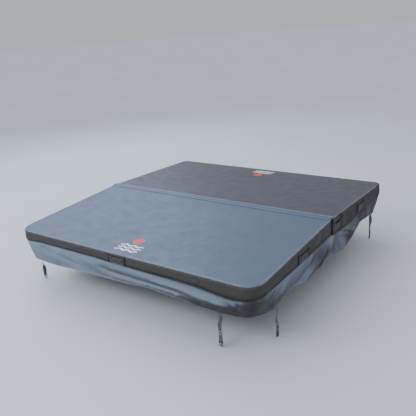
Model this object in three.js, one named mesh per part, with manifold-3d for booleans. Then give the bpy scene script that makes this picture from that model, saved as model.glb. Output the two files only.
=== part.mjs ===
// Folding insulated spa cover, in millimetres, +Z up.
//
// Frame: the origin is the centre of the underside, in the plane that rests on the tub's rim.
// X runs along the fold, Y from the front half to the rear half.
// The cover is two tapered foam halves in vinyl jackets, joined along the top of the fold.
// The front half is the rear half turned half a turn about Z, apart from its handles and straps.

import * as THREE from "three";
import { mergeVertices } from "three/addons/utils/BufferGeometryUtils.js";
import Module from "manifold-3d";

const wasm = await Module();
wasm.setup();

// Whole cover
const WIDTH = 2130;
const DEPTH = 2170;
const HALF_WIDTH = WIDTH / 2;
const HALF_DEPTH = DEPTH / 2;
const CORNER_RADIUS = 110;
const CORNER_STEPS = 7;
const THICKNESS_AT_FOLD = 129;
const THICKNESS_AT_EDGE = 82;
const FOLD_GAP = 16; // between the inner walls of the two halves
const INNER_FACE = FOLD_GAP / 2;
const CLEARANCE = 0.4; // between neighbouring pieces

// Sheet materials
const VINYL = 2;
const FILM = 1;
const STEEL = 1.2;
const SEAM_RETURN = 12; // jacket turned in under the foam, all round the underside panel

// Slot left in the vapour wrap's outer edge, where the film is folded over
const MOUTH_LOW = 38;
const MOUTH_HIGH = 42;
const MOUTH_DEPTH = 20;
const MOUTH_END_INSET = 150;

// Stiffener channel
const CHANNEL_FLANGE = 38;
const CHANNEL_END_INSET = 30;

// Zip along the underside, beside the fold
const WALL_RETURN = 12;
const ZIP_START = INNER_FACE + WALL_RETURN + CLEARANCE;
const ZIP_TAPE = 24;
const ZIP_END = ZIP_START + ZIP_TAPE;
const ZIP_MIDDLE = (ZIP_START + ZIP_END) / 2;
const ZIP_COIL_WIDTH = 6;
const ZIP_COIL_DROP = 1.2;
const ZIP_TAPE_RECESS = 0.3; // above the plane of the underside
const ZIP_END_INSET = 12;
const ZIP_SLIDER_AT = 1005;
const SLIDER_LENGTH = 18;
const SLIDER_WIDTH = 11;
const SLIDER_TOP = -(ZIP_COIL_DROP + CLEARANCE);
const SLIDER_BODY = 3.2;
const SLIDER_CHAMFER = 2;
const BRIDGE_WIDTH = 4;
const BRIDGE_RADIUS = 4.4;
const BRIDGE_HOLE = 2.4;
const BRIDGE_AXIS = SLIDER_TOP - SLIDER_BODY - 3;
const PULL_THICKNESS = 1.5;
const PULL_WIDTH = 9;
const PULL_LENGTH = 36;
const PULL_CHAMFER = 3;
const PULL_WINDOW_WIDTH = 5.4;
const PULL_WINDOW_HEIGHT = 7;
const PULL_BAR = 2;

// Drain grommet in each underside
const GROMMET_X = 640;
const GROMMET_Y = 900;
const GROMMET_BORE = 6;
const GROMMET_NECK = 10;
const GROMMET_FLANGE = 14;
const GROMMET_FLANGE_DROP = 1.2;

// Skirt, which leans in from the jacket's side down to its hem
const SKIRT_DROP = 175;
const SKIRT_THICKNESS = 3;
const HEM_THICKNESS = 4;
const HEM_INSET = 26;
const SKIRT_LAP = 40; // each skirt passes the fold by this much
const REAR_SKIRT_INSET = HEM_THICKNESS + 1; // so that it passes inside the front skirt

// Hinge strip and seal
const STRIP_HALF_WIDTH = 38;
const STRIP_THICKNESS = 2;
const STRIP_FOOT = 3;
const SEAL_HALF_WIDTH = INNER_FACE - 0.5;
const SEAL_HEIGHT = 42;
const SEAL_CHAMFER = 4;
const SEAL_END_INSET = 12;

// Grab handles
const PATCH_LENGTH = 152;
const PATCH_LOW = 5;
const PATCH_HIGH = 75;
const PATCH_THICKNESS = 2;
const GRAB_HEIGHT = 46;
const GRAB_LOW = 10;
const GRAB_THICKNESS = 3;
const GRAB_STANDOFF = 16; // middle of the grab strap to the jacket's side
const GRAB_FOOT = 18;
const GRAB_RISE = 16;

// Tie-down straps, measured down from the hem
const WEBBING_WIDTH = 25;
const WEBBING = 1.2;
const WEBBING_SEWN = 28; // length sewn to the inside of the skirt
const ADJUSTER_DROP = 130;
const CLIP_BAR_DROP = 185;
const PLATE = 3;
const LAYER = PLATE / 2 + CLEARANCE + WEBBING / 2; // middle of a plate to webbing lying on it
const SLOT_WIDTH = WEBBING_WIDTH + 0.8;
const ADJUSTER_RIM = 3;
const ADJUSTER_HALF_HEIGHT = 12;
const ADJUSTER_CHAMFER = 2;
const ADJUSTER_SLOT_NEAR = 2.5;
const ADJUSTER_SLOT_FAR = 8.5;
const WEBBING_TAIL = 14; // below the adjuster, where the webbing's free end stops

// Clip, measured down from its bar
const CLIP_RIM = 2.6;
const CLIP_BAR = 2;
const CLIP_SLOT_END = 7.5;
const CLIP_FRAME_END = 14;
const SHOULDER_TOP = 9;
const SHOULDER_END = 15;
const CLIP_THICKNESS = 5;

// Where the handles and straps are sewn on: face, and place along it (X or Y)
const FRONT_HANDLES = [
  { name: "front", face: "front", along: -18 },
  { name: "front_right", face: "right", along: -478 },
  { name: "front_left", face: "left", along: -478 },
];
const REAR_HANDLES = [
  { name: "back", face: "back", along: -18 },
  { name: "rear_right", face: "right", along: 572 },
  { name: "rear_left", face: "left", along: 572 },
  { name: "fold_right", face: "right", along: 84, height: THICKNESS_AT_FOLD - 14 },
  { name: "fold_left", face: "left", along: 84, height: THICKNESS_AT_FOLD - 14 },
];
const STRAPS = [
  { name: "front", face: "front", along: 780, inset: 0 },
  { name: "front_right", face: "right", along: -790, inset: 0 },
  { name: "front_left", face: "left", along: -955, inset: 0 },
  { name: "rear_right", face: "right", along: 958, inset: REAR_SKIRT_INSET },
  { name: "rear_left", face: "left", along: 958, inset: REAR_SKIRT_INSET },
];

const material = (color, roughness, metalness = 0) =>
  new THREE.MeshStandardMaterial({ color, roughness, metalness });

const FINISH = {
  vinyl: material(0x59626c, 0.55),
  hinge: material(0x66727e, 0.55),
  lining: material(0x3b4046, 0.7),
  foam: material(0xf0f0ec, 0.9),
  film: material(0xc9d3d8, 0.35),
  steel: material(0xb4b8ba, 0.4, 0.9),
  zip: material(0x1b1c1e, 0.6),
  brass: material(0xa98f4c, 0.35, 0.9),
  webbing: material(0x4a5058, 0.8),
  plastic: material(0x8a8f94, 0.45),
  clip: material(0x17181a, 0.4),
};

// ---- Solids -------------------------------------------------------------------------------

function solidOf(geometry) {
  const bare = geometry.index ? geometry.toNonIndexed() : geometry.clone();
  bare.deleteAttribute("normal");
  bare.deleteAttribute("uv");
  const merged = mergeVertices(bare, 1e-4);
  return new wasm.Manifold(
    new wasm.Mesh({
      numProp: 3,
      vertProperties: merged.attributes.position.array,
      triVerts: new Uint32Array(merged.index.array),
    }),
  );
}

function geometryOf(solid) {
  const mesh = solid.getMesh();
  const geometry = new THREE.BufferGeometry();
  geometry.setAttribute("position", new THREE.BufferAttribute(mesh.vertProperties, 3));
  geometry.setIndex(new THREE.BufferAttribute(mesh.triVerts, 1));
  geometry.computeVertexNormals();
  return geometry;
}

function meshOf(name, shape, finish) {
  const geometry = shape.isBufferGeometry ? shape : geometryOf(shape);
  const mesh = new THREE.Mesh(geometry, finish);
  mesh.name = name;
  return mesh;
}

function outline(points, holes = []) {
  const shape = new THREE.Shape(points.map(([a, b]) => new THREE.Vector2(a, b)));
  shape.holes = holes.map((h) => new THREE.Path(h.map(([a, b]) => new THREE.Vector2(a, b))));
  return shape;
}

// Outline in X and Y, raised along Z.
function raised(shape, low, high) {
  const settings = { depth: high - low, bevelEnabled: false };
  return new THREE.ExtrudeGeometry(shape, settings).translate(0, 0, low);
}

// Outline in Y and Z, centred on X.
function along(shape, length) {
  const turn = new THREE.Matrix4().makeBasis(
    new THREE.Vector3(0, 1, 0),
    new THREE.Vector3(0, 0, 1),
    new THREE.Vector3(1, 0, 0),
  );
  const solid = new THREE.ExtrudeGeometry(shape, { depth: length, bevelEnabled: false });
  return solid.applyMatrix4(turn).translate(-length / 2, 0, 0);
}

// Outline in X and Z, centred on Y.
function across(shape, length, middle = 0) {
  const turn = new THREE.Matrix4().makeBasis(
    new THREE.Vector3(1, 0, 0),
    new THREE.Vector3(0, 0, 1),
    new THREE.Vector3(0, -1, 0),
  );
  const solid = new THREE.ExtrudeGeometry(shape, { depth: length, bevelEnabled: false });
  return solid.applyMatrix4(turn).translate(0, middle + length / 2, 0);
}

function rectangle(x0, y0, x1, y1) {
  return [[x0, y0], [x1, y0], [x1, y1], [x0, y1]];
}

function box(x0, x1, y0, y1, z0, z1) {
  return raised(outline(rectangle(x0, y0, x1, y1)), z0, z1);
}

function circle(x, y, radius, steps) {
  return Array.from({ length: steps }, (_, i) => {
    const turn = (2 * Math.PI * i) / steps;
    return [x + radius * Math.cos(turn), y + radius * Math.sin(turn)];
  });
}

function arc(x, y, radius, from, to, steps) {
  return Array.from({ length: steps + 1 }, (_, i) => {
    const turn = from + ((to - from) * i) / steps;
    return [x + radius * Math.cos(turn), y + radius * Math.sin(turn)];
  });
}

// A flat strip's section: a line of points given a thickness.
function ribbon(points, thickness) {
  const line = points.map(([a, b]) => new THREE.Vector2(a, b));
  const normals = line.slice(1).map((p, i) => {
    const step = p.clone().sub(line[i]).normalize();
    return new THREE.Vector2(-step.y, step.x);
  });
  const shift = line.map((_, i) => {
    const before = normals[Math.max(i - 1, 0)];
    const after = normals[Math.min(i, normals.length - 1)];
    const middle = before.clone().add(after).normalize();
    return middle.multiplyScalar(thickness / 2 / middle.dot(after));
  });
  const left = line.map((p, i) => p.clone().add(shift[i]).toArray());
  const right = line.map((p, i) => p.clone().sub(shift[i]).toArray());
  return outline([...right, ...left.reverse()]);
}

// ---- One half, as the rear half -------------------------------------------------------------

const TOP_SLOPE = (THICKNESS_AT_FOLD - THICKNESS_AT_EDGE) / (HALF_DEPTH - INNER_FACE);
const topAt = (y) => THICKNESS_AT_FOLD - TOP_SLOPE * (y - INNER_FACE);

// Plan of the half, set in from its outer sides, starting at y = from.
function plan(inset, from) {
  const w = HALF_WIDTH - inset;
  const d = HALF_DEPTH - inset;
  const r = CORNER_RADIUS - inset;
  const right = arc(w - r, d - r, r, 0, Math.PI / 2, CORNER_STEPS);
  const left = arc(r - w, d - r, r, Math.PI / 2, Math.PI, CORNER_STEPS);
  return outline([[-w, from], [w, from], ...right, ...left]);
}

// Tapered slab: the half's shape, set in from its sides and top.
function slab(inset, from, low) {
  const side = outline([
    [0, low],
    [HALF_DEPTH, low],
    [HALF_DEPTH, topAt(HALF_DEPTH) - inset],
    [0, topAt(0) - inset],
  ]);
  const column = raised(plan(inset, from), low - 1, THICKNESS_AT_FOLD + 1);
  return solidOf(along(side, WIDTH + 2)).intersect(solidOf(column));
}

// Vinyl over the top and the sides, open at the fold and at the underside.
function jacket() {
  const inside = slab(VINYL, INNER_FACE - 1, VINYL);
  const opening = raised(plan(SEAM_RETURN, INNER_FACE - 1), -1, VINYL + 1);
  const w = HALF_WIDTH - VINYL;
  const besideZip = box(-w, w, INNER_FACE - 1, ZIP_END, -1, VINYL + 1);
  return slab(0, INNER_FACE, 0)
    .subtract(inside)
    .subtract(solidOf(opening))
    .subtract(solidOf(besideZip));
}

const IN_JACKET = VINYL + CLEARANCE;
const IN_FILM = IN_JACKET + FILM + CLEARANCE;
const FILM_FACE = INNER_FACE + IN_JACKET;
const STEEL_FACE = INNER_FACE + IN_FILM;

function vapourWrap() {
  const outer = slab(IN_JACKET, FILM_FACE, IN_JACKET);
  const inner = slab(IN_JACKET + FILM, FILM_FACE + FILM, IN_JACKET + FILM);
  const w = HALF_WIDTH - MOUTH_END_INSET;
  const mouth = box(-w, w, HALF_DEPTH - MOUTH_DEPTH, HALF_DEPTH, MOUTH_LOW, MOUTH_HIGH);
  return outer.subtract(inner).subtract(solidOf(mouth));
}

function channelSection() {
  const low = IN_FILM;
  const high = topAt(STEEL_FACE + CHANNEL_FLANGE) - IN_FILM;
  const tip = STEEL_FACE + CHANNEL_FLANGE;
  const back = STEEL_FACE + STEEL;
  return [
    [tip, low], [tip, low + STEEL], [back, low + STEEL], [back, high - STEEL],
    [tip, high - STEEL], [tip, high], [STEEL_FACE, high], [STEEL_FACE, low],
  ];
}

function stiffenerChannel() {
  return along(outline(channelSection()), 2 * (HALF_WIDTH - CHANNEL_END_INSET));
}

// Foam, with a rebate for each flange of the channel.
function foamCore() {
  const back = STEEL_FACE + STEEL + CLEARANCE;
  const tip = STEEL_FACE + CHANNEL_FLANGE + CLEARANCE;
  const rebate = STEEL + CLEARANCE;
  const high = topAt(STEEL_FACE + CHANNEL_FLANGE) - IN_FILM - rebate;
  const lower = box(-HALF_WIDTH, HALF_WIDTH, 0, tip, 0, IN_FILM + rebate);
  const upper = box(-HALF_WIDTH, HALF_WIDTH, 0, tip, high, THICKNESS_AT_FOLD);
  return slab(IN_FILM, back, IN_FILM).subtract(solidOf(lower)).subtract(solidOf(upper));
}

function undersidePanel() {
  const plate = solidOf(raised(plan(SEAM_RETURN + CLEARANCE, ZIP_END + CLEARANCE), 0, VINYL));
  const hole = circle(GROMMET_X, GROMMET_Y, GROMMET_NECK + CLEARANCE, 16);
  return plate.subtract(solidOf(raised(outline(hole), -1, VINYL + 1)));
}

const INNER_LENGTH = 2 * (HALF_WIDTH - IN_JACKET);

// Vinyl wall beside the fold, with a return under the foam as far as the zip.
function innerWall() {
  const back = INNER_FACE + VINYL;
  const high = topAt(back) - IN_JACKET;
  const section = [
    [INNER_FACE, 0], [INNER_FACE + WALL_RETURN, 0], [INNER_FACE + WALL_RETURN, VINYL],
    [back, VINYL], [back, high], [INNER_FACE, high],
  ];
  return along(outline(section), INNER_LENGTH);
}

function zipTape() {
  const near = ZIP_MIDDLE - ZIP_COIL_WIDTH / 2;
  const far = ZIP_MIDDLE + ZIP_COIL_WIDTH / 2;
  const section = [
    [ZIP_START, VINYL], [ZIP_START, ZIP_TAPE_RECESS], [near, ZIP_TAPE_RECESS],
    [near, -ZIP_COIL_DROP], [far, -ZIP_COIL_DROP], [far, ZIP_TAPE_RECESS],
    [ZIP_END, ZIP_TAPE_RECESS], [ZIP_END, VINYL],
  ];
  return along(outline(section), 2 * (HALF_WIDTH - ZIP_END_INSET));
}

// Slider body with a bridge below it, which holds the pull.
function zipSlider() {
  const low = SLIDER_TOP - SLIDER_BODY;
  const end = SLIDER_LENGTH / 2;
  const foot = end - SLIDER_CHAMFER;
  const body = outline([[-end, SLIDER_TOP], [-foot, low], [foot, low], [end, SLIDER_TOP]]);
  const lobe = arc(0, BRIDGE_AXIS, BRIDGE_RADIUS, Math.PI, 2 * Math.PI, 10);
  const bridge = outline(
    [[BRIDGE_RADIUS, low + 1], [-BRIDGE_RADIUS, low + 1], ...lobe],
    [circle(0, BRIDGE_AXIS, BRIDGE_HOLE, 12)],
  );
  const joined = solidOf(across(body, SLIDER_WIDTH)).add(solidOf(across(bridge, BRIDGE_WIDTH)));
  return geometryOf(joined).translate(ZIP_SLIDER_AT, ZIP_MIDDLE, 0);
}

// Flat tab whose window bar passes through the slider's bridge.
function zipPull() {
  const top = BRIDGE_AXIS + PULL_BAR / 2;
  const low = top - PULL_LENGTH;
  const side = PULL_WIDTH / 2;
  const foot = side - PULL_CHAMFER;
  const shoulder = low + PULL_CHAMFER;
  const windowTop = top - PULL_BAR;
  const gap = PULL_WINDOW_WIDTH / 2;
  const plate = outline(
    [[-side, top], [-side, shoulder], [-foot, low], [foot, low], [side, shoulder], [side, top]],
    [rectangle(-gap, windowTop - PULL_WINDOW_HEIGHT, gap, windowTop)],
  );
  return along(plate, PULL_THICKNESS).translate(ZIP_SLIDER_AT, ZIP_MIDDLE, 0);
}

function drainGrommet() {
  const profile = [
    [GROMMET_BORE, -CLEARANCE - GROMMET_FLANGE_DROP],
    [GROMMET_FLANGE, -CLEARANCE - GROMMET_FLANGE_DROP],
    [GROMMET_FLANGE, -CLEARANCE],
    [GROMMET_NECK, -CLEARANCE],
    [GROMMET_NECK, VINYL],
    [GROMMET_BORE, VINYL],
    [GROMMET_BORE, -CLEARANCE - GROMMET_FLANGE_DROP],
  ].map(([r, z]) => new THREE.Vector2(r, z));
  const ring = new THREE.LatheGeometry(profile, 16).rotateX(Math.PI / 2);
  return ring.translate(GROMMET_X, GROMMET_Y, 0);
}

// ---- Skirt ----------------------------------------------------------------------------------

// Stations round three sides of a half: a point on the jacket's side, and the way out of it.
function skirtStations() {
  const r = CORNER_RADIUS;
  const stations = [{ x: HALF_WIDTH, y: -SKIRT_LAP, turn: 0 }];
  for (const [side, from] of [[1, 0], [-1, Math.PI / 2]]) {
    for (let i = 0; i <= CORNER_STEPS; i += 1) {
      const turn = from + (Math.PI / 2) * (i / CORNER_STEPS);
      const x = side * (HALF_WIDTH - r) + r * Math.cos(turn);
      stations.push({ x, y: HALF_DEPTH - r + r * Math.sin(turn), turn });
    }
  }
  stations.push({ x: -HALF_WIDTH, y: -SKIRT_LAP, turn: Math.PI });
  return stations;
}

function skirtSection(inset) {
  const section = [
    [0, -CLEARANCE],
    [-HEM_INSET, -SKIRT_DROP],
    [-HEM_INSET - HEM_THICKNESS, -SKIRT_DROP],
    [-SKIRT_THICKNESS, -CLEARANCE],
  ];
  return section.map(([out, z]) => [out - inset, z]);
}

function skirt(inset) {
  const section = skirtSection(inset);
  const stations = skirtStations();
  const count = section.length;
  const position = stations.flatMap(({ x, y, turn }) =>
    section.flatMap(([out, z]) => [x + out * Math.cos(turn), y + out * Math.sin(turn), z]),
  );
  const index = [];
  for (let s = 0; s + 1 < stations.length; s += 1) {
    for (let k = 0; k < count; k += 1) {
      const a = s * count + k;
      const b = s * count + ((k + 1) % count);
      index.push(a, b, a + count, b, b + count, a + count);
    }
  }
  const caps = THREE.ShapeUtils.triangulateShape(
    section.map(([out, z]) => new THREE.Vector2(out, z)),
    [],
  );
  const last = (stations.length - 1) * count;
  for (const [a, b, c] of caps) {
    index.push(a, b, c, last + c, last + b, last + a);
  }
  const geometry = new THREE.BufferGeometry();
  geometry.setAttribute("position", new THREE.Float32BufferAttribute(position, 3));
  geometry.setIndex(index);
  return solidOf(geometry);
}

function half(name, skirtInset) {
  const group = new THREE.Group();
  group.add(
    meshOf(`foam_core_${name}`, foamCore(), FINISH.foam),
    meshOf(`vapour_wrap_${name}`, vapourWrap(), FINISH.film),
    meshOf(`stiffener_channel_${name}`, stiffenerChannel(), FINISH.steel),
    meshOf(`jacket_${name}`, jacket(), FINISH.vinyl),
    meshOf(`underside_panel_${name}`, undersidePanel(), FINISH.lining),
    meshOf(`inner_wall_${name}`, innerWall(), FINISH.lining),
    meshOf(`zip_tape_${name}`, zipTape(), FINISH.zip),
    meshOf(`zip_slider_${name}`, zipSlider(), FINISH.brass),
    meshOf(`zip_pull_${name}`, zipPull(), FINISH.brass),
    meshOf(`drain_grommet_${name}`, drainGrommet(), FINISH.brass),
    meshOf(`skirt_${name}`, skirt(skirtInset), FINISH.vinyl),
  );
  return group;
}

// ---- Fold -----------------------------------------------------------------------------------

function hingeStrip() {
  const points = [STRIP_HALF_WIDTH, STRIP_FOOT + INNER_FACE].map((y) => [y, topAt(y)]);
  const right = [...points, [0, THICKNESS_AT_FOLD]];
  const left = points.map(([y, z]) => [-y, z]).reverse();
  const lift = CLEARANCE + STRIP_THICKNESS / 2;
  const line = [...right, ...left].map(([y, z]) => [y, z + lift]);
  return along(ribbon(line, STRIP_THICKNESS), WIDTH);
}

function hingeSeal() {
  const w = SEAL_HALF_WIDTH;
  const top = w - SEAL_CHAMFER;
  const shoulder = SEAL_HEIGHT - SEAL_CHAMFER;
  const section = [
    [-w, 0], [w, 0], [w, shoulder], [top, SEAL_HEIGHT], [-top, SEAL_HEIGHT], [-w, shoulder],
  ];
  return along(outline(section), WIDTH - 2 * SEAL_END_INSET);
}

// ---- Pieces sewn on a side: X runs along the side, Y out of it ------------------------------

const FACES = {
  back: { turn: 0, place: (s) => [s, HALF_DEPTH] },
  front: { turn: Math.PI, place: (s) => [s, -HALF_DEPTH] },
  right: { turn: -Math.PI / 2, place: (s) => [HALF_WIDTH, s] },
  left: { turn: Math.PI / 2, place: (s) => [-HALF_WIDTH, s] },
};

function onSide(face, place, meshes) {
  const group = new THREE.Group();
  const [x, y] = FACES[face].place(place);
  group.position.set(x, y, 0);
  group.rotation.z = FACES[face].turn;
  group.add(...meshes);
  return group;
}

function handlePatch(high) {
  const w = PATCH_LENGTH / 2;
  return box(-w, w, CLEARANCE, CLEARANCE + PATCH_THICKNESS, PATCH_LOW, high);
}

// Strap sewn down at both ends, standing off in the middle for the fingers.
function grabStrap(high) {
  const w = PATCH_LENGTH / 2;
  const seat = 2 * CLEARANCE + PATCH_THICKNESS + GRAB_THICKNESS / 2;
  const bend = w - GRAB_FOOT;
  const line = [
    [-w, seat], [-bend, seat], [GRAB_RISE - bend, GRAB_STANDOFF],
    [bend - GRAB_RISE, GRAB_STANDOFF], [bend, seat], [w, seat],
  ];
  const low = GRAB_LOW + (high - PATCH_HIGH) / 2;
  return raised(ribbon(line, GRAB_THICKNESS), low, low + GRAB_HEIGHT);
}

function handle({ name, face, along: place, height }) {
  const high = height ?? PATCH_HIGH;
  return onSide(face, place, [
    meshOf(`handle_patch_${name}`, handlePatch(high), FINISH.vinyl),
    meshOf(`grab_strap_${name}`, grabStrap(high), FINISH.vinyl),
  ]);
}

// Webbing: down from the skirt, through the adjuster's two slots, round the clip's bar and up.
function tieWebbing(depth) {
  const adjuster = -SKIRT_DROP - ADJUSTER_DROP;
  const bar = -SKIRT_DROP - CLIP_BAR_DROP;
  const plate = depth + LAYER;
  const front = plate + LAYER;
  const loop = bar - CLIP_BAR - CLEARANCE - WEBBING;
  const line = [
    [depth, WEBBING_SEWN - SKIRT_DROP],
    [depth, adjuster + ADJUSTER_SLOT_FAR],
    [front, adjuster + ADJUSTER_SLOT_NEAR],
    [front, adjuster - ADJUSTER_SLOT_NEAR],
    [depth, adjuster - ADJUSTER_SLOT_FAR],
    [depth, bar - CLIP_BAR],
    [plate - WEBBING, loop],
    [plate + WEBBING, loop],
    [front, bar - CLIP_BAR],
    [front, adjuster - WEBBING_TAIL],
  ];
  return along(ribbon(line, WEBBING), WEBBING_WIDTH);
}

function tieAdjuster(depth) {
  const slot = SLOT_WIDTH / 2;
  const edge = slot + ADJUSTER_RIM;
  const top = ADJUSTER_HALF_HEIGHT;
  const x = edge - ADJUSTER_CHAMFER;
  const z = top - ADJUSTER_CHAMFER;
  const frame = outline(
    [[-x, -top], [x, -top], [edge, -z], [edge, z], [x, top], [-x, top], [-edge, z], [-edge, -z]],
    [
      rectangle(-slot, ADJUSTER_SLOT_NEAR, slot, ADJUSTER_SLOT_FAR),
      rectangle(-slot, -ADJUSTER_SLOT_FAR, slot, -ADJUSTER_SLOT_NEAR),
    ],
  );
  return across(frame, PLATE, depth + LAYER).translate(0, 0, -SKIRT_DROP - ADJUSTER_DROP);
}

// Outlines of the clip's right spring prong and of the guide pin between the two prongs.
const PRONG = [
  [7.5, -12], [12.5, -12], [13.6, -26], [15.2, -33], [12.4, -35], [8.6, -46], [6.2, -45],
  [8.4, -30],
];
const GUIDE_PIN = [[-1.8, -12], [-1.8, -40], [0, -43], [1.8, -40], [1.8, -12]];

function tieClip(depth) {
  const slot = SLOT_WIDTH / 2;
  const edge = slot + CLIP_RIM;
  const x = edge - CLIP_BAR;
  const end = -CLIP_FRAME_END;
  const frame = outline(
    [[-edge, end], [edge, end], [edge, 0], [x, CLIP_BAR], [-x, CLIP_BAR], [-edge, 0]],
    [rectangle(-slot, -CLIP_SLOT_END, slot, -CLIP_BAR)],
  );
  const leftProng = PRONG.map(([a, b]) => [-a, b]).reverse();
  const shoulder = rectangle(-edge, -SHOULDER_END, edge, -SHOULDER_TOP);
  const thick = [PRONG, leftProng, GUIDE_PIN, shoulder].map((points) =>
    solidOf(across(outline(points), CLIP_THICKNESS)),
  );
  const whole = thick.reduce((a, b) => a.add(b), solidOf(across(frame, PLATE)));
  return geometryOf(whole).translate(0, depth + LAYER, -SKIRT_DROP - CLIP_BAR_DROP);
}

function strap({ name, face, along: place, inset }) {
  const depth = -(HEM_INSET + HEM_THICKNESS + inset + CLEARANCE + WEBBING / 2);
  return onSide(face, place, [
    meshOf(`tie_webbing_${name}`, tieWebbing(depth), FINISH.webbing),
    meshOf(`tie_adjuster_${name}`, tieAdjuster(depth), FINISH.plastic),
    meshOf(`tie_clip_${name}`, tieClip(depth), FINISH.clip),
  ]);
}

// ---- Cover ----------------------------------------------------------------------------------

const frontHalf = half("front", 0);
frontHalf.rotation.z = Math.PI;

const cover = new THREE.Group();
cover.add(frontHalf, half("rear", REAR_SKIRT_INSET));
cover.add(meshOf("hinge_strip", hingeStrip(), FINISH.hinge));
cover.add(meshOf("hinge_seal", hingeSeal(), FINISH.zip));
cover.add(...[...FRONT_HANDLES, ...REAR_HANDLES].map(handle));
cover.add(...STRAPS.map(strap));

export default cover;
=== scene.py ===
"""Folding insulated spa cover: the looks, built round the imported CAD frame.

Everything is in metres in the CAD's frame: the origin is the centre of the underside, X runs
along the fold, Y from the front half to the rear half, and Z is up.
Tables of places round a half give p, the distance round its outline in millimetres: from the
right end of the fold along the right side, the end and the left side back to the fold.
"""

import math

import bpy
import numpy as np
from mathutils import Matrix, Vector, noise


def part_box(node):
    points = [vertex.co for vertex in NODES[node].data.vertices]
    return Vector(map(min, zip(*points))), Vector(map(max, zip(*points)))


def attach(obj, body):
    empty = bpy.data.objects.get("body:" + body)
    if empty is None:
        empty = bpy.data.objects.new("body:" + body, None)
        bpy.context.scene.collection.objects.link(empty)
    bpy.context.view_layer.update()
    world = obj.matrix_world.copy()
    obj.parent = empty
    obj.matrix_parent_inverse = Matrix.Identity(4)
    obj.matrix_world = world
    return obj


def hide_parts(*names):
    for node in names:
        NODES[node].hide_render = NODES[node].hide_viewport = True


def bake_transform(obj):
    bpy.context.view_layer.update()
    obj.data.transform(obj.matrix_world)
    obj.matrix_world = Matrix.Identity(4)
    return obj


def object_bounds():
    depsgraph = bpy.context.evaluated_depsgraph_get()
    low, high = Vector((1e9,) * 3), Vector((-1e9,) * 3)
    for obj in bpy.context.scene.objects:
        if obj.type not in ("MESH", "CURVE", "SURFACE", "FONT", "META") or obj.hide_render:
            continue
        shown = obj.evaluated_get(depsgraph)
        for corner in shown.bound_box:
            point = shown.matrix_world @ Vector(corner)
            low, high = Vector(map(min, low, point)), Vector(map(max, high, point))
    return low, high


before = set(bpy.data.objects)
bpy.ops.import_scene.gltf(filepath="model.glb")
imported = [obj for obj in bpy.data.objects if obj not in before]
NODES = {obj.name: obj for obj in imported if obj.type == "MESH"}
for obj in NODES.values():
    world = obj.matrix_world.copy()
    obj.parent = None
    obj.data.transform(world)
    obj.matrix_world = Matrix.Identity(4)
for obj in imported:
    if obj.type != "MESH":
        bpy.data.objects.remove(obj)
CAD_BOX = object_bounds()
MM = 0.001

# ---- Sizes taken from the frame ----

JACKET_LOW, JACKET_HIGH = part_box("jacket_rear")
HALF_WIDTH = JACKET_HIGH.x
HALF_DEPTH = JACKET_HIGH.y
INNER_FACE = JACKET_LOW.y
TOP_AT_FOLD = JACKET_HIGH.z
TOP_AT_EDGE = max(
    v.co.z for v in NODES["jacket_rear"].data.vertices if v.co.y > HALF_DEPTH - MM
)
SLOPE = (TOP_AT_FOLD - TOP_AT_EDGE) / (HALF_DEPTH - INNER_FACE)
CORNER = 0.110
STRAIGHT = HALF_DEPTH - CORNER
REACH = HALF_WIDTH - CORNER
ARC = CORNER * math.pi / 2
OUTLINE = 2 * STRAIGHT + 2 * ARC + 2 * REACH
HALVES = {"rear": 1, "front": -1}
SQUARENESS = 0.20

EDGE_RADIUS = 0.010
TOP_COLUMNS = 150
TOP_ROWS = 74
CORNER_ROWS = 14
BAND_ROWS = 11
SEAM_RETURN = 0.012

SKIRT_STEP = 0.010
SKIRT_ROWS = 34
SKIRT_THICKNESS = 0.0016
SKIRT_LAP = 0.040
ATTACH_OUT = -0.0012
REAR_SKIRT_INSET = 0.005
HEM_DEPTH = 0.018

STITCH_HEIGHT = 0.0009
HANDLE_HALF = 0.076
WEBBING_WIDTH = 0.025
WEBBING_THICKNESS = 0.0013
BUCKLE_BEVEL = 0.0005
BUCKLE_SLOT_CORNER = 0.0008


# ---- Small helpers ----


def table(points, soften=18):
    """Smooth function of a length in metres, from points given in millimetres."""
    at, value = np.array(points, float).T
    grid = np.arange(at[0] - 4 * soften, at[-1] + 4 * soften + 1, 2.0)
    reach = np.arange(-3 * soften, 3 * soften + 1, 2.0)
    weight = np.exp(-((reach / soften) ** 2))
    wide = np.concatenate([grid[0] + reach[reach < 0], grid, grid[-1] + reach[reach > 0]])
    smooth = np.convolve(np.interp(wide, at, value), weight / weight.sum(), mode="valid") * MM
    return lambda p: np.interp(np.asarray(p) / MM, grid, smooth)


def smoothstep(x, low, high):
    t = np.clip((np.asarray(x, float) - low) / (high - low), 0, 1)
    return t * t * (3 - 2 * t)


def bell(x, middle, reach):
    """Smooth bump: 1 at the middle, down to a third at its reach."""
    return np.exp(-(((x - middle) / reach) ** 2))


def unit(vectors):
    return vectors / np.linalg.norm(vectors, axis=-1, keepdims=True)


def ruffle(points, scale, seed=0.0):
    """Repeatable smooth noise, about -1 to 1, at each of many points."""
    flat = np.asarray(points, float).reshape(-1, 3)
    values = [noise.noise(Vector((x * scale + seed, y * scale, z * scale))) for x, y, z in flat]
    return np.array(values).reshape(np.shape(points)[:-1])


def grid_faces(rows, columns, closed=False, flip=False):
    index = np.arange(rows * columns).reshape(rows, columns)
    if closed:
        index = np.concatenate([index, index[:, :1]], axis=1)
    a, b = index[:-1, :-1], index[:-1, 1:]
    c, d = index[1:, 1:], index[1:, :-1]
    order = (d, c, b, a) if flip else (a, b, c, d)
    return np.stack(order, axis=-1).reshape(-1, 4)


def tube_faces(rings, count):
    """Faces of a tube of rings with count points each, closed at both ends."""
    faces = [list(face) for face in grid_faces(rings, count, closed=True)]
    first = list(range(count))
    return faces + [first[::-1], [(rings - 1) * count + k for k in first]]


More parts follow.
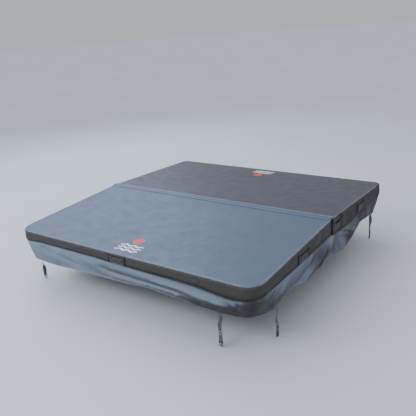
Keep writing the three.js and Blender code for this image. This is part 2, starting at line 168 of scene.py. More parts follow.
def disc(radii, sides):
    """x and y of the rings of a flat disc, and its faces."""
    turn = np.linspace(0, 2 * math.pi, sides + 1)[:-1]
    radius = np.array(radii)[:, None]
    return radius * np.cos(turn), radius * np.sin(turn), tube_faces(len(radii), sides)[:-1]


def point_values(mesh, name, values):
    """A number at each vertex for the materials to read."""
    attribute = mesh.attributes.new(name, "FLOAT", "POINT")
    attribute.data.foreach_set("value", np.asarray(values, np.float32))


def new_object(name, data):
    obj = bpy.data.objects.new(name, data)
    bpy.context.scene.collection.objects.link(obj)
    return obj


def evaluated_mesh(obj):
    depsgraph = bpy.context.evaluated_depsgraph_get()
    return bpy.data.meshes.new_from_object(obj.evaluated_get(depsgraph))


def mesh_piece(name, verts, faces, materials, kinds=None, smooth=True, wear=0.0):
    """New object. kinds picks each face's material; wear, 0 to 1, lightens worn edges."""
    verts = np.asarray(verts, float).reshape(-1, 3)
    mesh = bpy.data.meshes.new(name)
    mesh.from_pydata(verts.tolist(), [], [list(map(int, face)) for face in faces])
    for material in materials:
        mesh.materials.append(material)
    if kinds is not None:
        mesh.polygons.foreach_set("material_index", np.asarray(kinds, np.int32))
    mesh.polygons.foreach_set("use_smooth", [smooth] * len(mesh.polygons))
    mesh.update()
    point_values(mesh, "wear", np.broadcast_to(np.ravel(wear), len(verts)))
    return new_object(name, mesh)


def thicken(piece, **settings):
    """Gives a sheet its thickness."""
    modifier = piece.modifiers.new("Thickness", "SOLIDIFY")
    for key, value in settings.items():
        setattr(modifier, key, value)
    solid = evaluated_mesh(piece)
    piece.modifiers.remove(modifier)
    piece.data = solid


def swept(path, across, width, thickness, bend=0.0, columns=5):
    """Closed strip along a path. across is its width direction, one for all points or for each."""
    path = np.asarray(path, float)
    across = np.broadcast_to(across, path.shape)
    face = unit(np.cross(unit(np.gradient(path, axis=0)), across))
    side = np.linspace(-0.5, 0.5, columns)
    rim = np.sqrt(np.clip(1 - (2 * np.abs(side)) ** 8, 0.05, 1)) * thickness / 2
    crown = bend * (1 - 4 * side**2)
    upper = np.stack([side * width, crown + rim], axis=1)
    lower = np.stack([side * width, crown - rim], axis=1)[::-1]
    section = np.concatenate([upper, lower])
    ring = path[:, None] + section[:, :1] * across[:, None] + section[:, 1:] * face[:, None]
    return ring.reshape(-1, 3), tube_faces(len(path), len(section))


def dashes(path, normals, pitch=0.0075, length=0.0056, width=0.0015):
    """Stitches along a path: one small faceted bump for each, standing on the surface."""
    path = np.asarray(path, float)
    normals = np.broadcast_to(normals, path.shape)
    run = np.concatenate([[0], np.cumsum(np.linalg.norm(np.diff(path, axis=0), axis=1))])
    at = np.arange(pitch / 2, run[-1], pitch)

    def sampled(rows, places):
        return np.stack([np.interp(places, run, column) for column in rows.T], axis=1)

    middle = sampled(path, at)
    along = unit(sampled(path, at + length / 4) - sampled(path, at - length / 4))
    normal = unit(sampled(normals, at))
    across = np.cross(normal, along)
    half, side = length / 2, width / 2
    shape = [(-half, 0, 0), (0, -side, 0), (half, 0, 0), (0, side, 0), (0, 0, STITCH_HEIGHT)]
    verts = np.stack(
        [middle + a * along + b * across + c * normal for a, b, c in shape], axis=1
    )
    base = np.arange(len(at))[:, None, None] * len(shape)
    corners = np.array([[0, 1, 4], [1, 2, 4], [2, 3, 4], [3, 0, 4]])
    return verts.reshape(-1, 3), (corners[None] + base).reshape(-1, 3)


def joined(parts):
    """Vertices and faces of several shapes as one."""
    verts, faces, start = [], [], 0
    for v, f in parts:
        verts.append(np.asarray(v, float).reshape(-1, 3))
        faces += [[int(i) + start for i in face] for face in f]
        start += len(verts[-1])
    return np.concatenate(verts), faces


# ---- Materials ----


class Nodes:
    """Short way to write a material's node tree."""

    def __init__(self, name, roughness, metallic=0.0, specular=0.5, sheen=0.0):
        self.material = bpy.data.materials.new(name)
        self.material.use_nodes = True
        self.tree = self.material.node_tree
        self.shader = self.tree.nodes["Principled BSDF"]
        self.shader.inputs["Roughness"].default_value = roughness
        self.shader.inputs["Metallic"].default_value = metallic
        self.shader.inputs["Specular IOR Level"].default_value = specular
        if sheen:
            self.shader.inputs["Sheen Weight"].default_value = sheen
            self.shader.inputs["Sheen Roughness"].default_value = 0.4
        self.place = self.add("ShaderNodeTexCoord", {}).outputs["Object"]

    def add(self, kind, values, **settings):
        node = self.tree.nodes.new(kind)
        for key, value in settings.items():
            setattr(node, key, value)
        for socket, value in values.items():
            node.inputs[socket].default_value = value
        return node

    def link(self, source, target):
        self.tree.links.new(source, target)

    def attribute(self, name):
        return self.add("ShaderNodeAttribute", {}, attribute_name=name).outputs["Fac"]

    def over(self, kind, output, values, place=None, **settings):
        """An output of a node that works on the place on the piece."""
        node = self.add(kind, values, **settings)
        self.link(place or self.place, node.inputs["Vector"])
        return node.outputs[output]

    def stretch(self, scale):
        return self.over("ShaderNodeMapping", "Vector", {"Scale": scale})

    def noise(self, scale, detail=3.0, rough=0.55, place=None):
        values = {"Scale": scale, "Detail": detail, "Roughness": rough}
        return self.over("ShaderNodeTexNoise", "Fac", values, place)

    def cells(self, scale, feature="F1"):
        return self.over("ShaderNodeTexVoronoi", "Distance", {"Scale": scale}, feature=feature)

    def wave(self, scale, direction):
        return self.over("ShaderNodeTexWave", "Fac", {"Scale": scale}, bands_direction=direction)

    def ranged(self, value, low, high, out_low, out_high):
        values = {"From Min": low, "From Max": high, "To Min": out_low, "To Max": out_high}
        node = self.add("ShaderNodeMapRange", values)
        self.link(value, node.inputs["Value"])
        return node.outputs["Result"]

    def combine(self, a, b, operation="ADD", by=1.0):
        """a op b, or a op (b times by)."""
        node = self.add("ShaderNodeMath", {}, operation=operation)
        if by != 1.0:
            scaled = self.add("ShaderNodeMath", {1: by}, operation="MULTIPLY")
            self.link(b, scaled.inputs[0])
            b = scaled.outputs[0]
        self.link(a, node.inputs[0])
        self.link(b, node.inputs[1])
        return node.outputs[0]

    def mix(self, factor, first, second):
        node = self.add("ShaderNodeMix", {}, data_type="RGBA")
        self.link(factor, node.inputs["Factor"])
        for socket, colour in ((node.inputs[6], first), (node.inputs[7], second)):
            if isinstance(colour, tuple):
                socket.default_value = (*colour, 1.0)
            else:
                self.link(colour, socket)
        return node.outputs[2]

    def bump(self, height, strength, distance, under=None):
        node = self.add("ShaderNodeBump", {"Strength": strength, "Distance": distance})
        self.link(height, node.inputs["Height"])
        if under is not None:
            self.link(under, node.inputs["Normal"])
        return node.outputs["Normal"]

    def finish(self, colour, roughness, normal=None):
        self.link(colour, self.shader.inputs["Base Color"])
        self.link(roughness, self.shader.inputs["Roughness"])
        if normal is not None:
            self.link(normal, self.shader.inputs["Normal"])
        return self.material


def vinyl(
    name, base, faded, worn, shade_colour=None, roughness=(0.40, 0.56), creases=0.35, specular=0.5
):
    """Marine vinyl: fine leather grain, faded patches, faint creases, lighter worn edges and painted
    shade.
    """
    n = Nodes(name, roughness[1], specular=specular)
    patches = n.ranged(n.noise(2.6, 4.0), 0.35, 0.68, 0.0, 0.7)
    mottle = n.noise(70.0, 5.0, 0.75, n.stretch((0.6, 1.0, 1.0)))
    mottle = n.ranged(mottle, 0.32, 0.68, 0.0, 0.62)
    streaks = n.ranged(n.noise(6.0, 3.0, place=n.stretch((0.35, 1.6, 1.0))), 0.4, 0.7, 0.0, 0.5)
    fade = n.combine(n.combine(patches, mottle), streaks, by=0.7)
    colour = n.mix(n.ranged(fade, 0.1, 1.5, 0.0, 1.0), base, faded)
    # Painted shade: where the shade attribute is high, the colour turns to the dark shade colour, a
    # little mottled
    if shade_colour:
        blotch = n.ranged(n.noise(14.0), 0.3, 0.7, 0.85, 1.1)
        colour = n.mix(n.combine(n.attribute("shade"), blotch, "MULTIPLY"), colour, shade_colour)
    scuffs = n.ranged(n.noise(60.0, 4.0), 0.35, 0.65, 0.25, 1.0)
    colour = n.mix(n.combine(n.attribute("wear"), scuffs, "MULTIPLY"), colour, worn)
    cells = n.cells(780.0)
    grain = n.bump(n.combine(cells, n.noise(1500.0, 2.0), by=0.5), 0.32, 0.0005)
    folds = n.bump(n.noise(17.0, 4.0, 0.5), creases, 0.004, under=grain)
    rough = n.ranged(n.combine(n.noise(11.0), cells, by=0.15), 0.35, 0.8, *roughness)
    return n.finish(colour, rough, folds)


def woven(name, dark, light, threads, ribs="Y"):
    """Woven cloth. threads sets how fine it is, and ribs the axis that its weft runs across."""
    n = Nodes(name, 0.8, sheen=0.25)
    scale = threads / (2 * math.pi)
    weave = n.combine(n.wave(scale, "X"), n.wave(scale, ribs), "MULTIPLY")
    fuzz = n.ranged(n.noise(240.0, 3.0), 0.3, 0.7, 0.0, 0.6)
    colour = n.mix(n.combine(weave, fuzz, by=0.8), dark, light)
    rough = n.ranged(fuzz, 0.0, 0.6, 0.7, 0.88)
    return n.finish(colour, rough, n.bump(weave, 0.5, 0.0006))


def moulded(name, base, light, roughness=0.42):
    n = Nodes(name, roughness)
    colour = n.mix(n.ranged(n.noise(90.0, 4.0), 0.35, 0.7, 0.0, 1.0), base, light)
    rough = n.ranged(n.noise(300.0), 0.3, 0.7, roughness - 0.08, roughness + 0.12)
    return n.finish(colour, rough, n.bump(n.noise(2400.0, 2.0), 0.25, 0.0002))


def metal(name, base, tarnish, roughness=0.36, brushed=False):
    n = Nodes(name, roughness, metallic=1.0)
    place = n.stretch((2.0, 60.0, 60.0)) if brushed else None
    stain = n.ranged(n.noise(50.0, 4.0, place=place), 0.4, 0.7, 0.0, 1.0)
    colour = n.mix(stain, base, tarnish)
    rough = n.ranged(stain, 0.0, 1.0, roughness, roughness + 0.25)
    return n.finish(colour, rough, n.bump(n.noise(900.0, place=place), 0.15, 0.0002))


def foam_beads():
    n = Nodes("foam_beads", 0.85)
    cells = n.cells(260.0, feature="SMOOTH_F1")
    colour = n.mix(n.ranged(cells, 0.0, 0.7, 0.0, 1.0), (0.86, 0.86, 0.84), (0.7, 0.7, 0.68))
    rough = n.ranged(cells, 0.0, 0.7, 0.78, 0.92)
    return n.finish(colour, rough, n.bump(cells, 0.5, 0.001))


def clear_film():
    n = Nodes("vapour_film", 0.25)
    n.shader.inputs["Alpha"].default_value = 0.55
    creases = n.noise(30.0, 5.0, 0.6)
    colour = n.mix(creases, (0.62, 0.66, 0.68), (0.78, 0.81, 0.83))
    rough = n.ranged(creases, 0.3, 0.7, 0.15, 0.4)
    return n.finish(colour, rough, n.bump(creases, 0.5, 0.003))


def printed(name, ink, thin):
    n = Nodes(name, 0.45)
    rub = n.ranged(n.noise(120.0, 5.0, 0.7), 0.45, 0.75, 0.0, 0.55)
    rough = n.ranged(n.noise(60.0), 0.3, 0.7, 0.38, 0.55)
    return n.finish(n.mix(rub, ink, thin), rough, n.bump(n.cells(780.0), 0.25, 0.0004))


# Vinyls: base, faded and worn colour
# Painted sky reflection: the front top is a bluer, lighter copy of the one vinyl of both tops
FRONT_TOP_PAINTED_SKY = vinyl(
    "vinyl_top_front_painted_sky", (0.075, 0.098, 0.142), (0.094, 0.120, 0.168), (0.20, 0.25, 0.32)
)
# Painted shade: the rear top is a darker, browner copy of the same vinyl
REAR_TOP_PAINTED_SHADE = vinyl(
    "vinyl_top_rear_painted_shade", (0.051, 0.046, 0.055), (0.066, 0.061, 0.072), (0.15, 0.155, 0.18)
)
BAND = vinyl(
    "vinyl_band", (0.040, 0.034, 0.030), (0.055, 0.048, 0.043), (0.21, 0.24, 0.27),
    shade_colour=(0.010, 0.010, 0.010), roughness=(0.46, 0.62), creases=0.5, specular=0.3,
)
# Painted shade: the rear band is a darker, browner copy of the band's vinyl
REAR_BAND_PAINTED_SHADE = vinyl(
    "vinyl_band_rear_painted_shade", (0.027, 0.015, 0.014), (0.038, 0.023, 0.022), (0.18, 0.18, 0.20),
    shade_colour=(0.008, 0.008, 0.008), roughness=(0.46, 0.62), creases=0.5, specular=0.25,
)
SKIRT = vinyl(
    "vinyl_skirt", (0.156, 0.196, 0.248), (0.200, 0.246, 0.306), (0.30, 0.36, 0.43),
    shade_colour=(0.020, 0.016, 0.014), roughness=(0.34, 0.48), creases=0.5, specular=0.38,
)
# Painted shade: the rear skirt is a darker copy of the skirt's vinyl
REAR_SKIRT_PAINTED_SHADE = vinyl(
    "vinyl_skirt_rear_painted_shade", (0.125, 0.145, 0.175), (0.165, 0.190, 0.225), (0.26, 0.29, 0.34),
    shade_colour=(0.036, 0.026, 0.027), roughness=(0.46, 0.62), creases=0.5, specular=0.25,
)
STRIP = vinyl(
    "vinyl_hinge_strip", (0.066, 0.086, 0.122), (0.088, 0.112, 0.152), (0.22, 0.30, 0.42)
)
# Black vinyl: the hinge seal's own colour, and painted shadow as the fold's end flaps and the
# handles' end bindings
SEAL_AND_PAINTED_SHADOW = vinyl("seal_vinyl_and_painted_shadow", (0.006, 0.006, 0.007), (0.012, 0.012, 0.013), (0.03, 0.03, 0.03))

# Cloths and threads: dark and light colour, fineness of the weave
SKIRT_BACK = woven("skirt_backing", (0.05, 0.055, 0.06), (0.10, 0.11, 0.12), 1500.0)
LINING = woven("woven_lining", (0.020, 0.022, 0.025), (0.050, 0.055, 0.060), 1200.0)
FOLD_WALL = woven("fold_wall_lining", (0.005, 0.005, 0.006), (0.014, 0.014, 0.016), 1200.0)
# Painted shadow: dark cloth on the handle patch where the strap's shadow falls
SLOT_PAINTED_SHADOW = woven("handle_slot_painted_shadow", (0.010, 0.010, 0.011), (0.024, 0.024, 0.026), 1200.0)
THREAD = woven("stitch_thread", (0.055, 0.062, 0.070), (0.13, 0.145, 0.16), 4000.0)
DARK_THREAD = woven("band_thread", (0.030, 0.032, 0.034), (0.085, 0.09, 0.095), 4000.0)
WEBBING = woven("strap_webbing", (0.050, 0.056, 0.062), (0.145, 0.158, 0.170), 2400.0, ribs="Z")
ZIP_TAPE = woven("zip_tape_weave", (0.008, 0.008, 0.009), (0.022, 0.022, 0.024), 2400.0)

# Plastics, metals and inks: main colour and the colour of its patches
ZIP_COIL = moulded("zip_coil", (0.010, 0.010, 0.011), (0.03, 0.03, 0.032))
ADJUSTER = moulded("adjuster_plastic", (0.26, 0.28, 0.30), (0.38, 0.41, 0.44), 0.4)
CLIP = moulded("clip_plastic", (0.006, 0.006, 0.007), (0.014, 0.014, 0.015), 0.38)
BRASS = metal("tarnished_brass", (0.40, 0.29, 0.11), (0.17, 0.12, 0.06))
STEEL = metal("galvanised_steel", (0.52, 0.54, 0.55), (0.34, 0.35, 0.36), 0.4, brushed=True)
PALE_INK = printed("pale_print", (0.80, 0.84, 0.86), (0.60, 0.65, 0.69))
CORAL_INK = printed("coral_print", (0.80, 0.030, 0.026), (0.66, 0.045, 0.040))


# ---- Outline of a half ----


def outline(p):
    """Point and outward way at p on the rear half's three sides. Both ends run on past the fold."""
    p = np.asarray(p, float)
    ends = np.cumsum([STRAIGHT, ARC, 2 * REACH, ARC])
    turn = (np.clip(p - ends[0], 0, ARC) + np.clip(p - ends[2], 0, ARC)) / CORNER
    normal = np.stack([np.cos(turn), np.sin(turn), 0 * turn], axis=-1)
    x = np.clip(REACH - (p - ends[1]), -REACH, REACH)
    y = np.minimum(np.minimum(p, STRAIGHT), STRAIGHT - (p - ends[3]))
    return np.stack([x, y, 0 * p], axis=-1) + CORNER * normal, normal


def on_half(points, side):
    """Points of the rear half, its corners a little squarer, or mirrored for the front half."""
    points = np.array(points, float)
    if side > 0:
        over_x, over_y = np.abs(points[..., 0]) - REACH, points[..., 1] - STRAIGHT
        corner = (over_x > 0) & (over_y > 0)
        push = np.where(corner, SQUARENESS * np.sin(2 * np.arctan2(over_y, over_x)) ** 2, 0.0)
        points[..., 0] += np.sign(points[..., 0]) * over_x * push
        points[..., 1] += over_y * push
    return points * np.array([1, side, 1])


def half_plan(near, radius, columns, straight_rows, corner_rows, first=1):
    """x and y of a grid over a half, finer at its far corners, which have this radius.

    Its columns start at the right, where first is 1, or at the left, where it is -1.
    """
    rows = [(y, REACH + radius) for y in np.linspace(near, STRAIGHT, straight_rows)]
    for turn in np.linspace(0, math.pi / 2, corner_rows + 1)[1:]:
        rows.append((STRAIGHT + radius * math.sin(turn), REACH + radius * math.cos(turn)))
    y, reach = np.array(rows).T[..., None]
    return reach * np.linspace(first, -first, columns + 1), y + np.zeros(columns + 1)


def top_height(y):
    return TOP_AT_FOLD - SLOPE * (np.abs(y) - INNER_FACE)


def sag(x, y, side):
    """Slight crown and soft unevenness of the top, none at its edges."""
    x, y = np.broadcast_arrays(x, np.abs(y))
    points = np.stack([x, y * side, 0 * x], axis=-1)
    inner = np.minimum(HALF_WIDTH - np.abs(x), np.minimum(HALF_DEPTH - y, y))
    uneven = 0.0011 * ruffle(points, 3.1, 7.0) + 0.0006 * ruffle(points, 9.0, 3.0)
    return smoothstep(inner, 0.0, 0.22) * (0.0014 + uneven)


# ---- Tables round the outline ----

# Height of the seam under the band and of the hem, how far the hem stands out, and how far the
# skirt bulges between them, in millimetres
SEAM = {
    "front": table([
        (-60, 4), (0, 6), (60, 9), (250, 6), (450, 3), (650, 2), (850, 2), (975, 4), (1061, -4),
        (1148, -13), (1200, -19), (1260, -18), (1320, -12), (1400, -1), (1500, 7), (1600, 10),
        (1700, 12), (1900, 10), (2200, 8), (2300, 13), (2400, 17), (2700, 18), (2900, 15),
        (3000, 9), (3058, 5), (3144, 0), (3230, 2), (3500, 6), (3900, 3), (4270, 5),
    ]),
    "rear": table([
        (-60, 0), (0, -2), (60, -8), (150, -16), (350, -22), (550, -22), (750, -20), (975, -17),
        (1148, -12), (1500, -4), (2100, 2), (2700, -3), (3058, -10), (3230, -14), (3700, -16),
        (4100, -10), (4270, -2),
    ]),
}
HEM = {
    "front": table([
        (-60, -178), (20, -177), (110, -157), (150, -149), (190, -166), (220, -176), (260, -173),
        (350, -166), (450, -152), (550, -144), (650, -140), (700, -150), (750, -162), (850, -175),
        (910, -162), (975, -145), (1040, -138), (1104, -141), (1200, -152), (1260, -156),
        (1400, -151), (1500, -153), (1550, -149), (1600, -142), (1700, -135), (1800, -130),
        (1870, -123), (1950, -128), (2100, -142), (2300, -146), (2500, -154), (2650, -161),
        (2800, -171), (3000, -169), (3144, -160), (3260, -163), (3500, -172), (3760, -150),
        (3960, -166), (4130, -158), (4270, -176),
    ], 14),
    "rear": table([
        (-60, -172), (0, -180), (60, -189), (150, -204), (250, -212), (300, -210), (400, -188),
        (500, -162), (560, -147), (640, -127), (750, -139), (850, -156), (975, -176),
        (1061, -170), (1148, -160), (1400, -168), (1700, -152), (2000, -165), (2300, -158),
        (2700, -170), (3058, -162), (3230, -172), (3500, -150), (3800, -182), (4000, -196),
        (4200, -178), (4270, -172),
    ], 16),
}
HEM_OUT = {
    "front": table([
        (-60, -26), (0, -26), (250, -22), (450, -18), (650, -18), (850, -24), (975, -34),
        (1148, -34), (1260, -28), (1500, -20), (1900, -18), (2300, -22), (2600, -27), (3058, -34),
        (3230, -34), (3600, -22), (4000, -18), (4270, -26),
    ]),
    "rear": table([
        (-60, -24), (0, -22), (250, -8), (400, -6), (650, -16), (850, -26), (975, -32),
        (1148, -34), (1500, -22), (2100, -16), (2800, -24), (3058, -33), (3230, -32),
        (3600, -14), (3900, -8), (4270, -24),
    ]),
}
BULGE = {
    "front": table([
        (-60, 2), (0, 3), (300, 8), (700, 9), (975, 5), (1061, 6), (1148, 10), (1300, 17),
        (1700, 15), (2100, 9), (2600, 5), (3058, 3), (3230, 4), (3700, 9), (4270, 3),
    ]),
    "rear": table([
        (-60, 0), (60, 3), (300, 12), (650, 7), (975, 3), (1148, 3), (1600, 9), (2300, 7),
        (3058, 3), (3230, 4), (3800, 11), (4150, 4), (4270, 0),
    ]),
}

# Painted shade on each skirt's vinyl near its seam, halfway down and at its hem, more where the skirt
# lies in shade and, if negative, lighter where it is lit: (p, seam, halfway, hem), in hundredths
SHADE = {
    "front": [
        (-60, -60, -10, 0), (20, -30, 0, 20), (90, 0, 60, 60), (205, 40, 110, 110), (300, 25, 60, 60),
        (420, 15, 0, -20), (530, 10, -10, -35), (800, 0, 5, 5), (975, 20, 40, 45),
        (1025, 35, 65, 65), (1100, 35, 65, 80), (1150, 25, 55, 85), (1230, 10, 25, 75),
        (1290, 10, 0, 60), (1440, 0, -10, 35), (1675, 0, -15, -35), (1930, -10, -10, -65),
        (2205, -20, -10, -65), (2510, -40, -45, -70), (2820, -60, -55, -15),
        (3058, -55, -50, -50), (3230, -20, -15, -10), (3700, 0, 0, 0), (4270, 20, 30, 30),
    ],
    "rear": [
        (-60, -30, -10, 10), (60, -30, 0, 10), (160, 0, -50, -90), (260, 10, -50, -75),
        (320, 40, 40, 20), (480, 50, 35, 50), (650, 80, 85, 85), (820, 85, 95, 100),
        (975, 110, 110, 110), (1148, 70, 70, 70), (2100, 20, 20, 20), (3058, 30, 30, 30),
        (3600, 10, 10, 10), (4100, 10, 0, -20), (4270, 20, 10, 0),
    ],
}

# Folds in each skirt: from (p, depth under the seam) to (p, depth), how far the crest stands
# out, and its reach on the near and far side, all in millimetres
FOLDS = {
    "front": [
        (10, 6, 560, 172, 30, 80, 17),
        (0, 4, 205, 176, 16.5, 40, 14),
        (-10, 10, 60, 150, 7.5, 20, 12),
        (330, 20, 420, 120, 6, 26, 30),
        (700, 10, 790, 110, 6, 30, 24),
        (860, 20, 905, 90, -4.5, 14, 14),
        (1204, 2, 1160, 62, -6, 10, 10),
        (1234, 0, 1196, 58, 4.5, 11, 11),
        (1140, 8, 1260, 10, -4.5, 10, 14),
        (1240, 14, 2050, 14, -6, 12, 16),
        (1560, 84, 1960, 88, -5.4, 15, 20),
        (1940, 88, 2330, 72, -4.8, 15, 19),
        (1240, 66, 1500, 72, 5.25, 26, 20),
        (1240, 66, 1820, 62, 6, 26, 20),
        (1440, 106, 2250, 120, 6, 16, 22),
        (1580, 150, 1640, 110, 7.5, 16, 12),
        (1840, 135, 1880, 110, -6, 16, 14),
        (2960, 42, 2800, 72, -7.5, 24, 26),
        (2800, 72, 2560, 118, -7.5, 22, 24),
        (2500, 25, 2250, 120, 4.5, 40, 40),
        (3300, 20, 3450, 150, 9, 50, 40),
        (3640, 10, 3780, 140, -9, 34, 30),
        (4200, 6, 3800, 160, 19.5, 24, 60),
        (4210, 6, 4080, 150, 12, 16, 36),
    ],
    "rear": [
        (60, 4, 170, 172, -4.5, 26, 30),
        (70, 4, 260, 182, 7.5, 40, 34),
        (80, 4, 380, 170, -6, 36, 36),
        (100, 2, 210, 60, 4.5, 18, 16),
        (140, 2, 330, 70, -6, 14, 14),
        (190, 2, 480, 120, 10.5, 30, 26),
        (520, 20, 640, 90, -7.5, 26, 26),
        (700, 0, 800, 120, 7.5, 34, 30),
        (860, 20, 930, 130, -6, 24, 26),
        (1180, 0, 1230, 70, -7.5, 12, 12),
        (1400, 60, 2000, 66, -9, 16, 18),
        (2200, 30, 2700, 90, 7.5, 26, 30),
        (3020, 0, 3000, 60, -7.5, 10, 12),
        (3400, 10, 3560, 150, 9, 40, 34),
        (4140, 4, 3900, 186, 13.5, 26, 34),
        (4130, 4, 3700, 160, -10.5, 30, 30),
    ],
}


def shade_at(name, p, t):
    """Extra painted shade of a skirt's vinyl at p round the outline and t down it."""
    rows = np.array(SHADE[name], float)
    seam, halfway, hem = [table(rows[:, [0, k]], 30)(p) / MM / 100 for k in (1, 2, 3)]
    upper = seam + (halfway - seam) * np.clip(2 * t, 0, 1)
    return upper + (hem - halfway) * np.clip(2 * t - 1, 0, 1)


def folds_at(name, p, depth):
    """How far a skirt's folds move it outward at each place."""
    out = np.zeros(np.broadcast(p, depth).shape)
    for p0, d0, p1, d1, height, near, far in FOLDS[name]:
        start = np.array([p0, d0]) * MM
        way = np.array([p1, d1]) * MM - start
        length = np.linalg.norm(way)
        way /= length
        dp, dd = p - start[0], depth - start[1]
        along = (dp * way[0] + dd * way[1]) / length
        off = dd * way[0] - dp * way[1]
        reach = np.where(off > 0, near, far) * MM
        window = smoothstep(along, -0.08, 0.25) * (1 - smoothstep(along, 0.85, 1.12))
        out += height * MM * window * bell(off, 0, reach)
    return out


# ---- Jackets ----


def band_wrinkles(points, p, side):
    """Slanting wrinkles in the band's vinyl, strongest near the fold and the far corners."""
    run, z = np.minimum(p, OUTLINE - p), points[..., 2]
    slant = np.stack([p + z * 0.9, z * 0.35, 0 * z], axis=-1)
    near_fold = 1 - smoothstep(run, 0.05, 0.55)
    near_corner = bell(run, STRAIGHT + ARC / 2, 0.11)
    strength = 0.0010 + 0.0046 * near_fold + 0.0036 * near_corner
    return strength * ruffle(slant, 26.0, 11.0 * side) + 0.0014 * ruffle(slant, 11.0, 5.0 * side)


def edge_ring(rows, columns):
    """Row and column round a grid: right side, far end, left side, then back along the fold."""
    ring = [(j, 0) for j in range(rows)]
    ring += [(rows - 1, i) for i in range(1, columns)]
    ring += [(j, columns - 1) for j in range(rows - 2, -1, -1)]
    ring += [(0, i) for i in range(columns - 2, 0, -1)]
    return np.array(ring).T


def edge_ways(edge):
    """Outward way and p at points of the top's edge; where it runs along the fold p is -1."""
    x, y = edge[:, 0], edge[:, 1]
    centre, straight = np.clip(x, -REACH, REACH), np.minimum(y, STRAIGHT)
    turn = np.arctan2(y - straight, x - centre)
    p = np.where(x > 0, straight, 2 * STRAIGHT - straight) + REACH - centre + CORNER * turn
    way = np.stack([np.cos(turn), np.sin(turn)], axis=1)
    way[y == y.min(), 1] = -1
    at_fold = (y == y.min()) & (np.abs(x) < np.abs(x).max())
    way[at_fold, 0] = 0
    return way, np.where(at_fold, -1.0, p)


# Rings down the side: how far out from the edge's roll, how far below the shoulder or above the
# seam, and wear
PIPING = [
    (0.0008, 0.0040, 0.05),
    (0.0020, 0.0060, 0.35),
    (0.0006, 0.0080, 0.05),
    (0.0002, 0.0100, 0.05),
]
SEAM_ROLL = [
    (0.0030, 0.0020, 0.05),
    (0.0018, -0.0002, 0.0),
    (-0.0002, -0.0014, 0.0),
    (-0.0016, -0.0006, 0.0),
]
BAND_START = 0.0130
BAND_END = 0.0040
ROLL_RINGS = 5
FIRST_BAND_RING = ROLL_RINGS + len(PIPING)


def jacket_profile(shoulder, seam):
    """Rings down the jacket's side: how far out each stands, its height and its wear."""
    rings = []
    for turn in np.linspace(math.pi / 10, math.pi / 2, ROLL_RINGS):
        out, rise = EDGE_RADIUS * math.sin(turn), EDGE_RADIUS * math.cos(turn)
        rings.append((out, shoulder + rise, 0.55 * math.cos(turn) + 0.1))
    rings += [(EDGE_RADIUS + out, shoulder - drop, wear) for out, drop, wear in PIPING]
    start, end = shoulder - BAND_START, seam + BAND_END
    for v in np.linspace(0, 1, BAND_ROWS):
        belly = 0.0026 * math.sin(math.pi * v) + 0.0022 * v
        rings.append((EDGE_RADIUS + belly, start + (end - start) * v, 0.0))
    rings += [(EDGE_RADIUS + out, seam + rise, wear) for out, rise, wear in SEAM_ROLL]
    low = np.minimum(seam, 0.0)
    rings.append((EDGE_RADIUS - 0.0022, low + 0.0016, 0.0))
    rings.append((EDGE_RADIUS - 0.0045, np.maximum(low, -0.002) + 0.0010, 0.0))
    rings.append((EDGE_RADIUS - SEAM_RETURN, 0 * seam + 0.0008, 0.0))
    return rings


